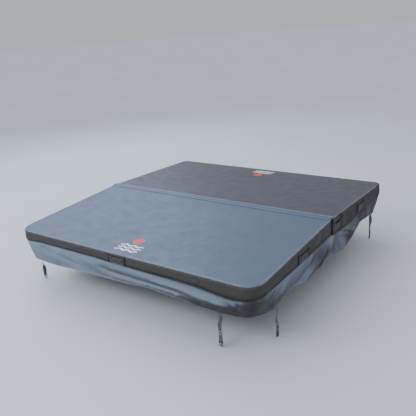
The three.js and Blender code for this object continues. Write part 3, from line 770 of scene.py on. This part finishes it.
def jacket(name):
    """Top and side of a half as one crowned shell, with its rows of stitches."""
    side = HALVES[name]
    x, y = half_plan(
        INNER_FACE + EDGE_RADIUS, CORNER - EDGE_RADIUS, TOP_COLUMNS, TOP_ROWS, CORNER_ROWS
    )
    top = np.stack([x, y, top_height(y) + sag(x, y, side)], axis=-1)
    ring = edge_ring(*x.shape)
    edge = top[tuple(ring)]
    way, place = edge_ways(edge)
    at_fold = place < 0
    seam = np.where(at_fold, 0.001, SEAM[name](np.clip(place, 0, None)))
    profile = jacket_profile(edge[:, 2] - EDGE_RADIUS, seam)
    rings = []
    for out, z, _ in profile:
        reach = np.where(at_fold, min(out, EDGE_RADIUS), out)
        rings.append(np.column_stack([edge[:, :2] + way * reach[:, None], z]))
    rings = np.array(rings)

    # The band between the piping and the seam is wrinkled, but not along the fold
    band = slice(FIRST_BAND_RING, FIRST_BAND_RING + BAND_ROWS)
    push = band_wrinkles(rings[band], np.broadcast_to(np.abs(place), rings[band].shape[:2]), side)
    fade = np.sin(np.linspace(0, math.pi, BAND_ROWS))[:, None] ** 0.5
    rings[band, :, :2] += (way * (1 - at_fold)[:, None])[None] * (push * fade)[..., None]

    # Faces of the top, then of the side: two rings of the top's vinyl, then band or fold wall
    top_faces = grid_faces(*x.shape, flip=side > 0)
    count = len(edge)
    layers = np.arange(len(rings) * count).reshape(-1, count) + x.size
    layers = np.concatenate([[ring[0] * x.shape[1] + ring[1]], layers])
    ahead = np.roll(layers, -1, axis=1)
    quads = [layers[:-1], layers[1:], ahead[1:], ahead[:-1]]
    quads = np.stack(quads if side > 0 else quads[::-1], axis=-1).reshape(-1, 4)
    kinds = np.tile(np.where(at_fold | np.roll(at_fold, -1), 2, 1), (len(rings), 1))
    kinds[:2] = 0
    kinds = np.concatenate([np.zeros(len(top_faces)), kinds.ravel()])

    verts = on_half(np.concatenate([top.reshape(-1, 3), rings.reshape(-1, 3)]), side)
    vinyls = [REAR_TOP_PAINTED_SHADE, REAR_BAND_PAINTED_SHADE] if name == "rear" else [FRONT_TOP_PAINTED_SKY, BAND]
    inner = np.minimum.reduce([HALF_WIDTH - np.abs(x), HALF_DEPTH - y, y])
    wear = 0.5 * bell(inner.ravel(), EDGE_RADIUS, 0.006)
    wear = np.concatenate([wear, np.repeat([ring_wear for _, _, ring_wear in profile], count)])
    piece = mesh_piece(
        f"jacket_shell_{name}",
        verts,
        np.concatenate([top_faces, quads]),
        [*vinyls, FOLD_WALL],
        kinds,
        wear=wear,
    )

    # Painted shadow: the vinyl is darkened at the foot of the band, in the shadow of the seam's roll
    foot_ring, foot = FIRST_BAND_RING + 7, [0.15, 0.4, 0.75, 1.0]
    rest = np.ones(len(rings) - foot_ring - len(foot))
    foot = np.concatenate([np.zeros(foot_ring), foot, rest])
    point_values(piece.data, "shade", np.concatenate([np.zeros(x.size), np.repeat(foot, count)]))
    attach(piece, f"{name}_half")
    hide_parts(f"jacket_{name}", f"inner_wall_{name}")

    # Two rows of stitches: on the seam under the top's edge, and above the skirt's seam
    outer = ~at_fold
    normals = on_half(np.column_stack([way, 0 * place])[outer], side)
    runs = []
    for layer, lift in ((FIRST_BAND_RING - 1, 0.0), (FIRST_BAND_RING + BAND_ROWS - 2, 0.0004)):
        path = rings[layer][outer]
        path[:, :2] += way[outer] * lift
        runs.append(dashes(on_half(path, side), normals))
    stitches = mesh_piece(f"jacket_stitches_{name}", *joined(runs), [DARK_THREAD], smooth=False)
    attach(stitches, f"{name}_half")


# ---- Underside ----


def underside(name):
    """Woven lining stretched across the underside."""
    side = HALVES[name]
    low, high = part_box(f"underside_panel_{name}")
    near, far = sorted((abs(low.y), abs(high.y)))
    x, y = half_plan(near, high.x - REACH, 90, 40, 8, first=-1)
    inner = np.minimum.reduce([high.x - np.abs(x), far - y, y - near])
    slack = 0.0006 * ruffle(np.stack([x, y, 0 * x], axis=-1), 9.0, 21.0) - 0.0001
    points = np.stack([x, y, 0.0010 + smoothstep(inner, 0.0, 0.1) * slack], axis=-1)
    faces = grid_faces(*x.shape, flip=side > 0)
    piece = mesh_piece(f"underside_lining_{name}", on_half(points, side), faces, [LINING])
    thicken(piece, thickness=0.0008, offset=0.0)
    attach(piece, f"{name}_half")
    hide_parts(f"underside_panel_{name}")


def zip_run(name):
    """Woven tapes of the zip with its coil, in place of the plain tape."""
    side = HALVES[name]
    low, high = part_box(f"zip_tape_{name}")
    near, far = sorted((abs(low.y), abs(high.y)))
    middle = (near + far) / 2
    xs = np.linspace(low.x, high.x, 160)
    path = np.stack([xs, 0 * xs + middle, 0 * xs + 0.0012], axis=1)
    path[:, 2] += 0.0002 * ruffle(path, 14.0, 2.0)
    verts, faces = swept(path, (0, 1, 0), far - near, 0.0009, columns=9)
    piece = mesh_piece(f"zip_tapes_{name}", on_half(verts, side), faces, [ZIP_TAPE])
    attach(piece, f"{name}_half")
    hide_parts(f"zip_tape_{name}")

    loops = []
    arch = [(-0.5, 0.0), (-0.35, -0.9), (0.35, -0.9), (0.5, 0.0)]
    faces = [[i, i + 1, i + 5, i + 4] for i in range(3)] + [[0, 3, 2, 1], [4, 5, 6, 7]]
    for k, x in enumerate(np.arange(low.x + 0.01, high.x - 0.01, 0.0042)):
        lean = 0.0007 * (1 if k % 2 else -1)
        rim = [(x + lean * b, middle + a * 0.0060, 0.0006 + b * 0.0019) for a, b in arch]
        loops.append((rim + [(px + 0.0016, py, pz) for px, py, pz in rim], faces))
    verts, faces = joined(loops)
    coil = mesh_piece(f"zip_coil_{name}", on_half(verts, side), faces, [ZIP_COIL], smooth=False)
    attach(coil, f"{name}_half")


# ---- Skirts ----


# The hem's turned part inside the skirt: how far above the hem, and how far inward
HEM_TURN = [(-0.0006, 0.0016), (0.0010, 0.0034), (HEM_DEPTH * 0.5, 0.0038), (HEM_DEPTH, 0.0034)]


def skirt_out(name, p, depth, t):
    """How far a skirt stands out from the jacket's side."""
    base, _ = outline(p)
    lean = HEM_OUT[name](p) * t**1.15
    belly = BULGE[name](p) * np.sin(math.pi * np.clip(t, 0, 1) ** 0.85)
    flick = 0.0032 * bell(t, 1, 0.075)
    free = smoothstep(t, 0.0, 0.12)
    points = np.stack([base[..., 0], base[..., 1], depth], axis=-1)
    rumple = 0.0024 * ruffle(points, 8.0, 4.0 + len(name)) + 0.0010 * ruffle(points, 24.0, 9.0)
    return ATTACH_OUT + lean + (belly + folds_at(name, p, depth) + rumple) * free + flick


def skirt_points(name, p, t):
    """The skirt's sheet at p round the outline and t from the seam, 0, to the hem, 1."""
    base, normal = outline(p)
    seam, hem = SEAM[name](p), HEM[name](p)
    out = skirt_out(name, p, (seam - hem) * t, t)
    start = np.minimum(seam, 0.012)
    z = start - (start - hem) * t
    if name == "rear":
        # The rear skirt passes inside the front skirt's ends at the fold
        mirrored = np.where(p < OUTLINE / 2, -p, 2 * OUTLINE - p)
        front_seam, front_hem = SEAM["front"](mirrored), HEM["front"](mirrored)
        front_t = np.clip((front_seam - z) / (front_seam - front_hem), 0, 1)
        front_depth = (front_seam - front_hem) * front_t
        limit = skirt_out("front", mirrored, front_depth, front_t) - REAR_SKIRT_INSET
        away = smoothstep(np.minimum(p, OUTLINE - p), 0.060, 0.110)
        inside = np.minimum(out, limit)
        out = inside + (out - REAR_SKIRT_INSET * 0.3 - inside) * away
    place = base + normal * out[..., None]
    return np.concatenate([place[..., :2], z[..., None]], axis=-1)


def skirt(name):
    """One hanging strip of thin vinyl round a half's three sides, with its hem and stitches."""
    side = HALVES[name]
    count = int((OUTLINE + 2 * SKIRT_LAP) / SKIRT_STEP)
    p = np.linspace(-SKIRT_LAP, OUTLINE + SKIRT_LAP, count)[None, :]
    t = np.linspace(0, 1, SKIRT_ROWS)[:, None]
    p, t = np.broadcast_arrays(p, t)
    if name == "front":
        near_end = 1 - smoothstep(np.minimum(p, OUTLINE - p), -SKIRT_LAP, 0.12)
        slant = 0.026 * near_end * t**1.2
        p = np.where(p < OUTLINE / 2, p - slant, p + slant)
    drop = SEAM[name](p) - HEM[name](p)

    rows = [skirt_points(name, p, t)]
    for rise, inward in HEM_TURN:
        row = skirt_points(name, p[-1], 1 - max(rise, 0.0) / drop[-1])
        row -= outline(p[-1])[1] * inward
        row[:, 2] += min(rise, 0.0)
        rows.append(row[None])
    sheet = on_half(np.concatenate(rows), side)
    wear = np.concatenate([0.55 * bell(t[:, 0], 1, 0.03), [0.6, 0.3, 0, 0]])
    piece = mesh_piece(
        f"skirt_sheet_{name}",
        sheet,
        grid_faces(len(sheet), count, flip=side > 0),
        [SKIRT if name == "front" else REAR_SKIRT_PAINTED_SHADE, SKIRT_BACK],
        wear=np.repeat(wear, count),
    )

    # Painted shade: vinyl that faces down and vinyl beside the seam, in the band's shadow, is
    # darkened; vinyl that faces up stays lighter
    up = np.array([v.normal.z for v in piece.data.vertices])
    reach = 0.008 + 0.018 * bell(p, 1.6, 0.35)
    extra = 0.8 * bell(t * drop, 0, reach) + shade_at(name, p, t)
    extra = np.concatenate([extra, np.zeros((len(HEM_TURN), count))])
    shade = np.clip(1 - smoothstep(up, -0.55, 0.35) + extra.ravel(), 0, 1)
    point_values(piece.data, "shade", shade)
    thicken(piece, thickness=SKIRT_THICKNESS, offset=-1.0, material_offset=1)
    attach(piece, f"{name}_half")
    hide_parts(f"skirt_{name}")

    hem_row = SKIRT_ROWS - 4
    out = on_half(outline(p[hem_row])[1], side)
    runs = [dashes(sheet[hem_row] + out * 0.0001, out)]
    stitches = mesh_piece(f"skirt_stitches_{name}", *joined(runs), [THREAD], smooth=False)
    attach(stitches, f"{name}_half")


# ---- Fold ----


def hinge_strip():
    """Reinforced vinyl strip over the fold, with hemmed edges, welts and rows of stitches."""
    low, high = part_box("hinge_strip")
    half = (high.y - low.y) / 2
    ys = np.linspace(-half, half, 61)
    away = np.abs(ys)
    xs = np.linspace(low.x + 0.001, high.x - 0.001, 150)
    welt_height = 0.0007
    welts = welt_height * sum(bell(away, place, 0.0016) for place in (0.006, 0.020))
    hem = 0.0009 * smoothstep(away, half - 0.009, half - 0.007)
    rim = 0.0016 * smoothstep(away, half - 0.002, half)
    rest = top_height(np.maximum(away, INNER_FACE + 0.004)) + 0.0012
    upper = rest + 0.0016 + welts + hem - rim
    section = np.concatenate([np.column_stack([ys, upper]), np.column_stack([ys, rest])[::-1]])
    verts = []
    for x in xs:
        wave = 0.0004 * noise.noise(Vector((x * 7.0, 3.0, 0.0)))
        drop = 0.0012 * smoothstep(abs(x), high.x - 0.010, high.x - 0.001)
        verts += [(x, y * (1 + wave * 30), z + wave - drop) for y, z in section]
    count = len(section)
    faces = tube_faces(len(xs), count)
    under = [len(face) == 4 and min(k % count for k in face) >= len(ys) for face in faces]
    edges = np.where(ys > 0, 1.0, 0.7) * bell(away, 0.031, 0.0065)
    wear = np.concatenate([0.25 * welts / welt_height + edges, 0 * ys])
    wear = np.tile(np.clip(wear, 0, 1), len(xs))
    piece = mesh_piece("hinge_cover_strip", verts, faces, [STRIP, LINING], under, wear=wear)
    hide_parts("hinge_strip")

    runs = []
    for y in (-0.0345, -0.013, 0.013, 0.0345):
        run = xs[1:-1]
        path = np.column_stack([run, 0 * run + y, 0 * run + np.interp(y, ys, upper)])
        runs.append(dashes(path, (0, 0, 1)))
    stitches = mesh_piece("hinge_strip_stitches", *joined(runs), [THREAD], smooth=False)
    for obj in (piece, stitches):
        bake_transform(obj)


def hinge_seal():
    """Soft black roll between the two halves, closed with a layered flap at each end whose black
    paints the shaded slit.
    """
    low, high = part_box("hinge_seal")
    overhang = 0.018
    first, last = low.x - overhang, high.x + overhang
    xs = np.linspace(first + 0.005, last - 0.005, 110)
    xs = np.concatenate([[first, first + 0.002], xs, [last - 0.002, last]])
    size = np.ones(len(xs))
    size[[0, -1]], size[[1, -2]] = 0.55, 0.88
    turns = np.linspace(0, 2 * math.pi, 25)[:-1]
    middle, half_height = (low.z + high.z) / 2, (high.z - low.z) / 2
    verts = []
    for x, s in zip(xs, size):
        puff = 1 + 0.03 * noise.noise(Vector((x * 9.0, 1.0, 0.0)))
        floor = 0.0004 + 0.014 * float(smoothstep(abs(x), high.x - 0.004, high.x + 0.006))
        for c, d in zip(np.cos(turns), np.sin(turns)):
            y = high.y * s * math.copysign(abs(c) ** 0.6, c)
            z = middle + half_height * s * puff * math.copysign(abs(d) ** 0.6, d)
            verts.append((x, y, max(z, floor)))
    parts = [(verts, tube_faces(len(xs), len(turns)))]
    # Painted shadow: black flaps down each end of the fold, where the slit between the halves lies in
    # shade
    for end in (-1, 1):
        z = np.linspace(0.014, TOP_AT_FOLD + 0.0002, 24)
        out = HALF_WIDTH + 0.0035 + 0.0012 * np.sin(z * 60.0) - 0.002 * smoothstep(z, 0.11, 0.13)
        flap = np.column_stack([end * out, 0 * z, z])
        cover = flap + np.array([end * 0.0046, 0.0, 0.0])
        foot = [(end * (HALF_WIDTH + 0.0085), y, 0.018) for y in np.linspace(-0.011, 0.024, 9)]
        parts.append(swept(flap, (0, end, 0), 0.0148, 0.0150, columns=7))
        parts.append(swept(cover, (0, end, 0), 0.0260, 0.0050, columns=7))
        parts.append(swept(foot, (0, 0, end), 0.0150, 0.0060, columns=7))
    piece = mesh_piece("hinge_seal_roll", *joined(parts), [SEAL_AND_PAINTED_SHADOW])
    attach(piece, "rear_half")
    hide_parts("hinge_seal")


# ---- Handles ----


def side_frame(node):
    """(along, out, up) on the side of the cover where a node is: as a matrix, and its origin."""
    low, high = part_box(node)
    middle = (low + high) / 2
    near_edge = 0.05
    if abs(middle.y) > HALF_DEPTH - near_edge:
        way = Vector((0, math.copysign(1, middle.y), 0))
        origin = Vector((middle.x, way.y * HALF_DEPTH, 0))
    else:
        way = Vector((math.copysign(1, middle.x), 0, 0))
        origin = Vector((way.x * HALF_WIDTH, middle.y, 0))
    up = Vector((0, 0, 1))
    return np.array(Matrix((way.cross(up), way, up)).transposed()), np.array(origin)


def on_side(points, basis, origin):
    """Points from (along, out, up) on a side of the cover to the CAD's frame."""
    return np.asarray(points) @ basis.T + origin


def handle(name, body):
    """Sewn grab handle: patch, strap, bindings and stitches."""
    patch_node, strap_node = f"handle_patch_{name}", f"grab_strap_{name}"
    place = side_frame(patch_node)
    low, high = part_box(patch_node)
    strap_low, strap_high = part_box(strap_node)

    # Patch: a rounded reinforcement panel with a hemmed edge, with painted shadow behind the strap
    ss, vv = np.meshgrid(np.linspace(-1, 1, 37), np.linspace(-1, 1, 19))
    far = np.maximum(np.abs(ss), np.abs(vv))
    rim = smoothstep(far, 0.97, 1.0)
    x = ss * HANDLE_HALF * np.sqrt(np.clip(1 - 0.10 * (ss**10) * (vv**10), 0, 1))
    z = (low.z + high.z) / 2 + vv * (high.z - low.z) / 2
    patch = np.stack([x, 0.0030 + 0.0007 * smoothstep(far, 0.80, 0.9) - 0.0022 * rim, z], axis=-1)
    patch[..., 1] += 0.0008 * ruffle(patch, 30.0, len(name))
    # Painted shadow: the patch behind the strap takes the dark slot material
    behind = (np.abs(ss) < 0.80) & (z < strap_high.z - 0.010) & (vv > -0.8)
    piece = mesh_piece(
        f"handle_panel_{name}",
        on_side(patch, *place),
        grid_faces(*ss.shape),
        [BAND, SLOT_PAINTED_SHADOW],
        (behind[:-1, :-1] & behind[1:, 1:]).ravel(),
        wear=0.3 * rim,
    )
    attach(piece, body)
    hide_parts(patch_node)

    # Strap: padded vinyl, sewn down at both ends, standing off between them
    width = strap_high.z - strap_low.z
    centre = (strap_low.z + strap_high.z) / 2 + 0.002
    u = np.linspace(-1, 1, 61)
    rise = 1 - smoothstep(np.abs(u), 0.62, 0.93)
    droop = (0.0060 if name.startswith("fold") else 0.0012) * np.cos(u * math.pi / 2) ** 2
    path = np.column_stack([u * HANDLE_HALF, 0.0054 + 0.0024 * rise, centre - droop])
    lean = unit(np.column_stack([0 * u, 0.10 * rise, 1 + 0 * u]))
    verts, faces = swept(path, lean, width + 0.003, 0.0034, bend=0.0012, columns=15)
    verts[:, 1] += 0.0007 * ruffle(verts, 45.0, 3.0 + len(name))
    wear = 0.75 * smoothstep(np.abs(verts[:, 2] - centre) / (width / 2), 0.86, 0.98)
    strap = mesh_piece(f"grab_handle_{name}", on_side(verts, *place), faces, [BAND], wear=wear)
    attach(strap, body)
    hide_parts(strap_node)

    # Binding at each end, black to paint the shadow at the strap's ends, and stitches in a box and a
    # cross
    bindings, runs = [], []
    bottom, top = centre - width / 2 + 0.004, centre + width / 2 - 0.004
    for end in (-1, 1):
        z = np.linspace(low.z + 0.002, high.z - 0.002, 9)
        line = np.column_stack([0 * z + end * (HANDLE_HALF - 0.0025), 0 * z + 0.0066, z])
        bindings.append(swept(line, (1, 0, 0), 0.0076, 0.0050))
        a, b = end * (HANDLE_HALF - 0.0065), end * (HANDLE_HALF - 0.0150)
        corners = [(a, bottom), (a, top), (b, top), (b, bottom), (a, bottom), (b, top)]
        line = np.array([(x, 0.0079, z) for x, z in corners])
        dense = np.concatenate([np.linspace(p0, p1, 12) for p0, p1 in zip(line[:-1], line[1:])])
        runs.append(dashes(dense, (0, 1, 0), pitch=0.0045, length=0.0036, width=0.0012))
    verts, faces = joined(bindings)
    binding = mesh_piece(f"handle_binding_{name}", on_side(verts, *place), faces, [SEAL_AND_PAINTED_SHADOW])
    verts, faces = joined(runs)
    stitches = mesh_piece(
        f"handle_stitches_{name}", on_side(verts, *place), faces, [DARK_THREAD], smooth=False
    )
    for obj in (binding, stitches):
        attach(obj, body)


# ---- Tie-down straps ----

# Sideways wander of each strap's webbing in millimetres, and its twist in degrees, top to bottom
STRAP_SHAPES = {
    "front": ([-14, -16, -9, 2, 8, 6, 0, 0], [8, 30, 48, 34, 0, 6, 10, 6]),
    "front_right": ([0, 1, 3, 2, 1, -1, -2, -1], [4, 10, 12, 6, 0, -4, -6, -3]),
    "front_left": ([2, 6, 9, -3, -6, 1, 4, 3], [24, 52, 62, 56, 44, 16, 0, 0]),
    "rear_right": ([-3, -4, 0, 3, 2, 0, -1, 0], [0, -36, -66, -60, -24, 0, 4, 2]),
    "rear_left": ([2, 4, 1, -2, -3, -1, 1, 1], [4, 16, 22, 10, 0, -6, -8, -4]),
}


def mesh_arrays(piece):
    """A helper piece's vertices and faces; the helper is removed."""
    verts = np.array([v.co for v in piece.data.vertices])
    faces = [list(p.vertices) for p in piece.data.polygons]
    bpy.data.objects.remove(piece)
    return verts, faces


def rounded_frame(half_width, half_height, slots, thickness, corner, name, material):
    """Flat buckle with slots: its outline and its slots as one bevelled solid, in X and Z."""
    curve = bpy.data.curves.new(name, "CURVE")
    curve.dimensions = "2D"
    curve.fill_mode = "BOTH"
    curve.extrude = thickness / 2 - BUCKLE_BEVEL
    curve.bevel_depth = BUCKLE_BEVEL
    curve.bevel_resolution = 2
    loops = [(0.0, half_width, half_height, corner)]
    loops += [(*slot, BUCKLE_SLOT_CORNER) for slot in slots]
    for z, w, h, r in loops:
        corners = [(w - r, h - r, 0), (r - w, h - r, 90), (r - w, r - h, 180), (w - r, r - h, 270)]
        points = []
        for cx, cz, start in corners:
            for k in range(5):
                a = math.radians(start + 22.5 * k)
                points.append((cx + r * math.cos(a), z + cz + r * math.sin(a)))
        spline = curve.splines.new("POLY")
        spline.points.add(len(points) - 1)
        spline.use_cyclic_u = True
        for point, (x, y) in zip(spline.points, points):
            point.co = (x, y, 0, 1)
    holder = new_object(name, curve)
    mesh = evaluated_mesh(holder)
    bpy.data.objects.remove(holder)
    mesh.materials.clear()
    mesh.materials.append(material)
    mesh.transform(Matrix.Rotation(math.pi / 2, 4, "X"))
    return new_object(name, mesh)


def place_flat(piece, basis, centre):
    """Puts a piece made in X and Z, facing -Y, on a side of the cover."""
    turn = Matrix(basis).to_4x4() @ Matrix.Rotation(math.pi, 4, "Z")
    piece.data.transform(Matrix.Translation(Vector(centre)) @ turn)


def clip_mesh(name):
    """Side-release clip in X and Z, its bar's axis at the origin."""
    # Bar for the webbing, shoulder and grip ridges: (x, z, half width, half height, slots, ...)
    blocks = [
        (0.0, -0.0065, 0.0155, 0.0075, [(0.00225, 0.0131, 0.00325)], 0.0022, 0.0010),
        (0.0, -0.0120, 0.0155, 0.0030, [], 0.0052, 0.0012),
    ]
    for x in (-0.009, -0.0045, 0.0, 0.0045, 0.009):
        blocks.append((x, -0.0120, 0.0007, 0.0024, [], 0.0062, 0.0005))
    parts = []
    for x, z, *size in blocks:
        block = rounded_frame(*size, name, CLIP)
        block.data.transform(Matrix.Translation((x, 0, z)))
        parts.append(mesh_arrays(block))

    # Two sprung prongs, as (x, z, width) in millimetres, and the guide pin between them
    prong = np.array(
        [
            (10.0, -13, 6.0), (11.2, -20, 5.6), (12.2, -27, 5.2), (13.4, -32, 4.8),
            (11.6, -38, 4.6), (8.6, -44, 4.2), (7.2, -45.5, 3.0),
        ]
    ) * MM
    steps = np.linspace(0, len(prong) - 1, 25)
    x, z, width = [np.interp(steps, range(len(prong)), column) for column in prong.T]
    for mirror in (1, -1):
        verts, faces = swept(np.column_stack([x * mirror, 0 * x, z]), (1, 0, 0), 1.0, 0.0046)
        count = len(verts) // len(steps)
        centre = np.repeat(x * mirror, count)
        verts[:, 0] = centre + (verts[:, 0] - centre) * np.repeat(width, count)
        parts.append((verts, faces))
    z = np.linspace(-13, -43, 8) * MM
    parts.append(swept(np.column_stack([0 * z, 0 * z, z]), (1, 0, 0), 0.0070, 0.0040))
    return mesh_piece(name, *joined(parts), [CLIP])


def webbing_path(name, top, bottom, depth):
    """Middle line of a strap's main run and the way of its width, in (along, out, up)."""
    t = np.linspace(0, 1, 90)
    z = top + (bottom - top) * t
    free = smoothstep(top - z, 0.020, 0.060) * (1 - smoothstep(t, 0.86, 1.0))
    curves = []
    for values in STRAP_SHAPES[name]:
        curve = np.interp(t, np.linspace(0, 1, len(values)), values)
        curves.append(np.convolve(np.pad(curve, 4, mode="edge"), np.ones(9) / 9, mode="valid"))
    sway = 0.004 * np.sin(3.0 * math.pi * t + len(name)) * free
    turn = np.radians(curves[1]) * free
    path = np.column_stack([curves[0] * MM * free, depth + sway, z])
    return path, np.column_stack([np.cos(turn), np.sin(turn), 0 * turn])


def strap(name, half):
    """Tie-down strap: webbing through its adjuster and round its clip's bar."""
    basis, origin = place = side_frame(f"tie_webbing_{name}")
    low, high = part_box(f"tie_webbing_{name}")
    adjuster_low, adjuster_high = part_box(f"tie_adjuster_{name}")
    clip_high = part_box(f"tie_clip_{name}")[1]
    out = basis[:, 1]
    near = float(min(np.dot(out, low), np.dot(out, high)) - np.dot(out, origin)) + 0.0006
    plate = float(np.dot(out, (adjuster_low + adjuster_high) / 2) - np.dot(out, origin))
    adjuster_z = (adjuster_low.z + adjuster_high.z) / 2
    bar = clip_high.z - 0.002

    # Webbing, as (out, up): the main run to the clip's bar, round the bar and doubled back up to
    # the adjuster, and the lap over the adjuster
    loop_z = bar - 0.0036
    back = [
        (near, bar - 0.0005),
        (near + 0.0003, loop_z + 0.0008),
        ((near + plate) / 2, loop_z - 0.0003),
        (plate, loop_z - 0.0008),
        (plate + 0.0020, loop_z + 0.0006),
        (plate + 0.0028, bar + 0.002),
        (plate + 0.0042, bar + 0.012),
        (plate + 0.0038, bar + 0.026),
        (plate + 0.0026, adjuster_z - 0.014),
    ]
    lap = [(near, 0.011), (near + 0.0012, 0.0080), (plate + 0.0016, 0.0046), (plate + 0.0023, 0.0020)]
    over = [(y, adjuster_z + rise) for y, rise in lap]
    over += [(y, adjuster_z - rise) for y, rise in lap[::-1]]
    routes = [webbing_path(name, high.z, bar - 0.002, near)]
    routes += [([(0.0, y, z) for y, z in route], (1.0, 0.0, 0.0)) for route in (back, over)]
    parts = []
    for path, across in routes:
        path, across = on_side(path, *place), np.asarray(across) @ basis.T
        parts.append(swept(path, across, WEBBING_WIDTH, WEBBING_THICKNESS, columns=7))
    piece = mesh_piece(f"strap_webbing_{name}", *joined(parts), [WEBBING])
    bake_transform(piece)
    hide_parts(f"tie_webbing_{name}")

    # Adjuster: a two-slot slider
    half_width = abs(np.dot(basis[:, 0], adjuster_high - adjuster_low)) / 2
    slots = [(0.0055, 0.0129, 0.0030), (-0.0055, 0.0129, 0.0030)]
    adjuster = rounded_frame(
        half_width, 0.012, slots, 0.0030, 0.0026, f"strap_adjuster_{name}", ADJUSTER
    )
    place_flat(adjuster, basis, on_side([0, plate, adjuster_z], *place))
    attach(adjuster, f"tie_{name}")
    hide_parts(f"tie_adjuster_{name}")

    clip = clip_mesh(f"strap_clip_{name}")
    place_flat(clip, basis, on_side([0, plate, bar], *place))
    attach(clip, f"clip_{name}")
    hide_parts(f"tie_clip_{name}")


# ---- Printed mark ----


def sun_mark(name, at):
    """Generic mark on each top: a coral sun over three pale waves."""
    side = HALVES[name]

    def on_top(x, y):
        px, py = at[0] - side * x, at[1] - y
        points = np.stack([px, py, top_height(py) + sag(px, py, side) + 0.0005], axis=-1)
        return on_half(points, side).reshape(-1, 3)

    waves = []
    x = np.linspace(-0.105, 0.105, 91)
    for y in (-0.024, -0.058, -0.092):
        swell = y + 0.0070 * np.sin(2 * math.pi * x / 0.070)
        half = 0.0080 * (1 - (np.abs(x) / 0.105) ** 6) + 0.0010
        verts = np.concatenate([on_top(x, swell + half), on_top(x, swell - half)])
        waves.append((verts, grid_faces(2, len(x))))
    sun_x, sun_y, sun_faces = disc((0.002, 0.022, 0.044), 40)
    sun = [(on_top(sun_x, 0.050 + sun_y), sun_faces)]
    for kind, parts, ink in (("waves", waves, PALE_INK), ("sun", sun, CORAL_INK)):
        piece = mesh_piece(f"{kind}_mark_{name}", *joined(parts), [ink])
        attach(piece, f"{name}_half")


# ---- Stage ----


def stage():
    n = Nodes("stage_floor", 0.9, specular=0.2)
    cloud = n.ranged(n.noise(0.7, 3.0), 0.3, 0.7, 0.0, 1.0)
    colour = n.mix(cloud, (0.72, 0.72, 0.72), (0.76, 0.76, 0.76))
    material = n.finish(colour, n.ranged(cloud, 0, 1, 0.85, 0.95))
    x, y, faces = disc((0.5, 4.0, 60.0), 48)
    lowest = CAD_BOX[0][2] - 0.004
    verts = np.stack([x, y, 0 * x + lowest], axis=-1)
    floor = mesh_piece("studio_floor", verts, faces, [material])


def area_light(name, place, target, size, power, colour):
    lamp = bpy.data.lights.new(name, "AREA")
    lamp.shape = "RECTANGLE"
    lamp.size, lamp.size_y = size
    lamp.energy = power
    lamp.color = colour
    obj = new_object(name, lamp)
    obj.location = place
    obj.rotation_euler = (Vector(target) - Vector(place)).to_track_quat("-Z", "Y").to_euler()


def lights():
    area_light("overhead", (-1.8, 0.0, 4.0), (-0.7, 0, 0), (4.0, 4.5), 50, (0.93, 0.96, 1.0))
    area_light("sky_left", (-4.6, 2.6, 3.4), (-0.4, -0.3, 0.1), (4.0, 3.0), 130, (0.54, 0.74, 1.0))
    area_light("front_sky", (-1.8, -5.0, 3.6), (0, -0.8, -0.1), (5.0, 2.0), 200, (0.80, 0.90, 1.0))


def sky():
    """World that shades from a grey horizon to a pale blue zenith."""
    world = bpy.data.worlds.new("soft_studio")
    world.use_nodes = True
    tree = world.node_tree
    place = tree.nodes.new("ShaderNodeTexCoord")
    split = tree.nodes.new("ShaderNodeSeparateXYZ")
    ramp = tree.nodes.new("ShaderNodeMapRange")
    ramp.interpolation_type = "SMOOTHSTEP"
    ramp.inputs["From Min"].default_value = 0.0
    ramp.inputs["From Max"].default_value = 0.6
    blend = tree.nodes.new("ShaderNodeMix")
    blend.data_type = "RGBA"
    blend.inputs[6].default_value = (0.52, 0.54, 0.56, 1.0)
    blend.inputs[7].default_value = (0.72, 0.78, 0.89, 1.0)
    tree.links.new(place.outputs["Generated"], split.inputs["Vector"])
    tree.links.new(split.outputs["Z"], ramp.inputs["Value"])
    tree.links.new(ramp.outputs["Result"], blend.inputs["Factor"])
    tree.links.new(blend.outputs[2], tree.nodes["Background"].inputs["Color"])
    bpy.context.scene.world = world


def camera():
    """The photo's camera, fitted to the cover's corners and fold."""
    azimuth, elevation, roll = (math.radians(d) for d in (36.538, 23.383, -4.289))
    level = math.cos(elevation)
    back = Vector((math.sin(azimuth) * level, -math.cos(azimuth) * level, math.sin(elevation)))
    right = (-back).cross(Vector((0, 0, 1))).normalized()
    up = right.cross(-back)
    turned_right = math.cos(roll) * right + math.sin(roll) * up
    turned_up = -math.sin(roll) * right + math.cos(roll) * up
    data = bpy.data.cameras.new("camera")
    data.sensor_width = 36.0
    data.lens = 44.875
    data.shift_x = 0.0038
    data.shift_y = 0.0813
    data.clip_end = 100.0
    place = Matrix.Translation((2.370, -3.277, 1.498))
    turn = Matrix((turned_right, turned_up, back)).transposed().to_4x4()
    obj = new_object("camera", data)
    obj.matrix_world = place @ turn
    bpy.context.scene.camera = obj


# ---- Scene ----

CAD_FINISHES = {
    "foam_core": foam_beads(),
    "vapour_wrap": clear_film(),
    "stiffener_channel": STEEL,
    "zip_slider": BRASS,
    "zip_pull": BRASS,
    "drain_grommet": BRASS,
}
HANDLES = {
    "front": ("front", "front_right", "front_left"),
    "rear": ("back", "rear_right", "rear_left", "fold_right", "fold_left"),
}
STRAPS = {
    "front": ("front", "front_right", "front_left"),
    "rear": ("rear_right", "rear_left"),
}

camera()
stage()
lights()
sky()
for half_name in HALVES:
    jacket(half_name)
    underside(half_name)
    zip_run(half_name)
    skirt(half_name)
    for kind, finish in CAD_FINISHES.items():
        NODES[f"{kind}_{half_name}"].data.materials[0] = finish
hinge_strip()
hinge_seal()
for half_name in ("front", "rear"):
    for handle_name in HANDLES[half_name]:
        handle(handle_name, f"{half_name}_half")
for half_name in ("front", "rear"):
    for strap_name in STRAPS[half_name]:
        strap(strap_name, half_name)
sun_mark("front", (0.003, 0.919))
sun_mark("rear", (-0.030, 0.912))
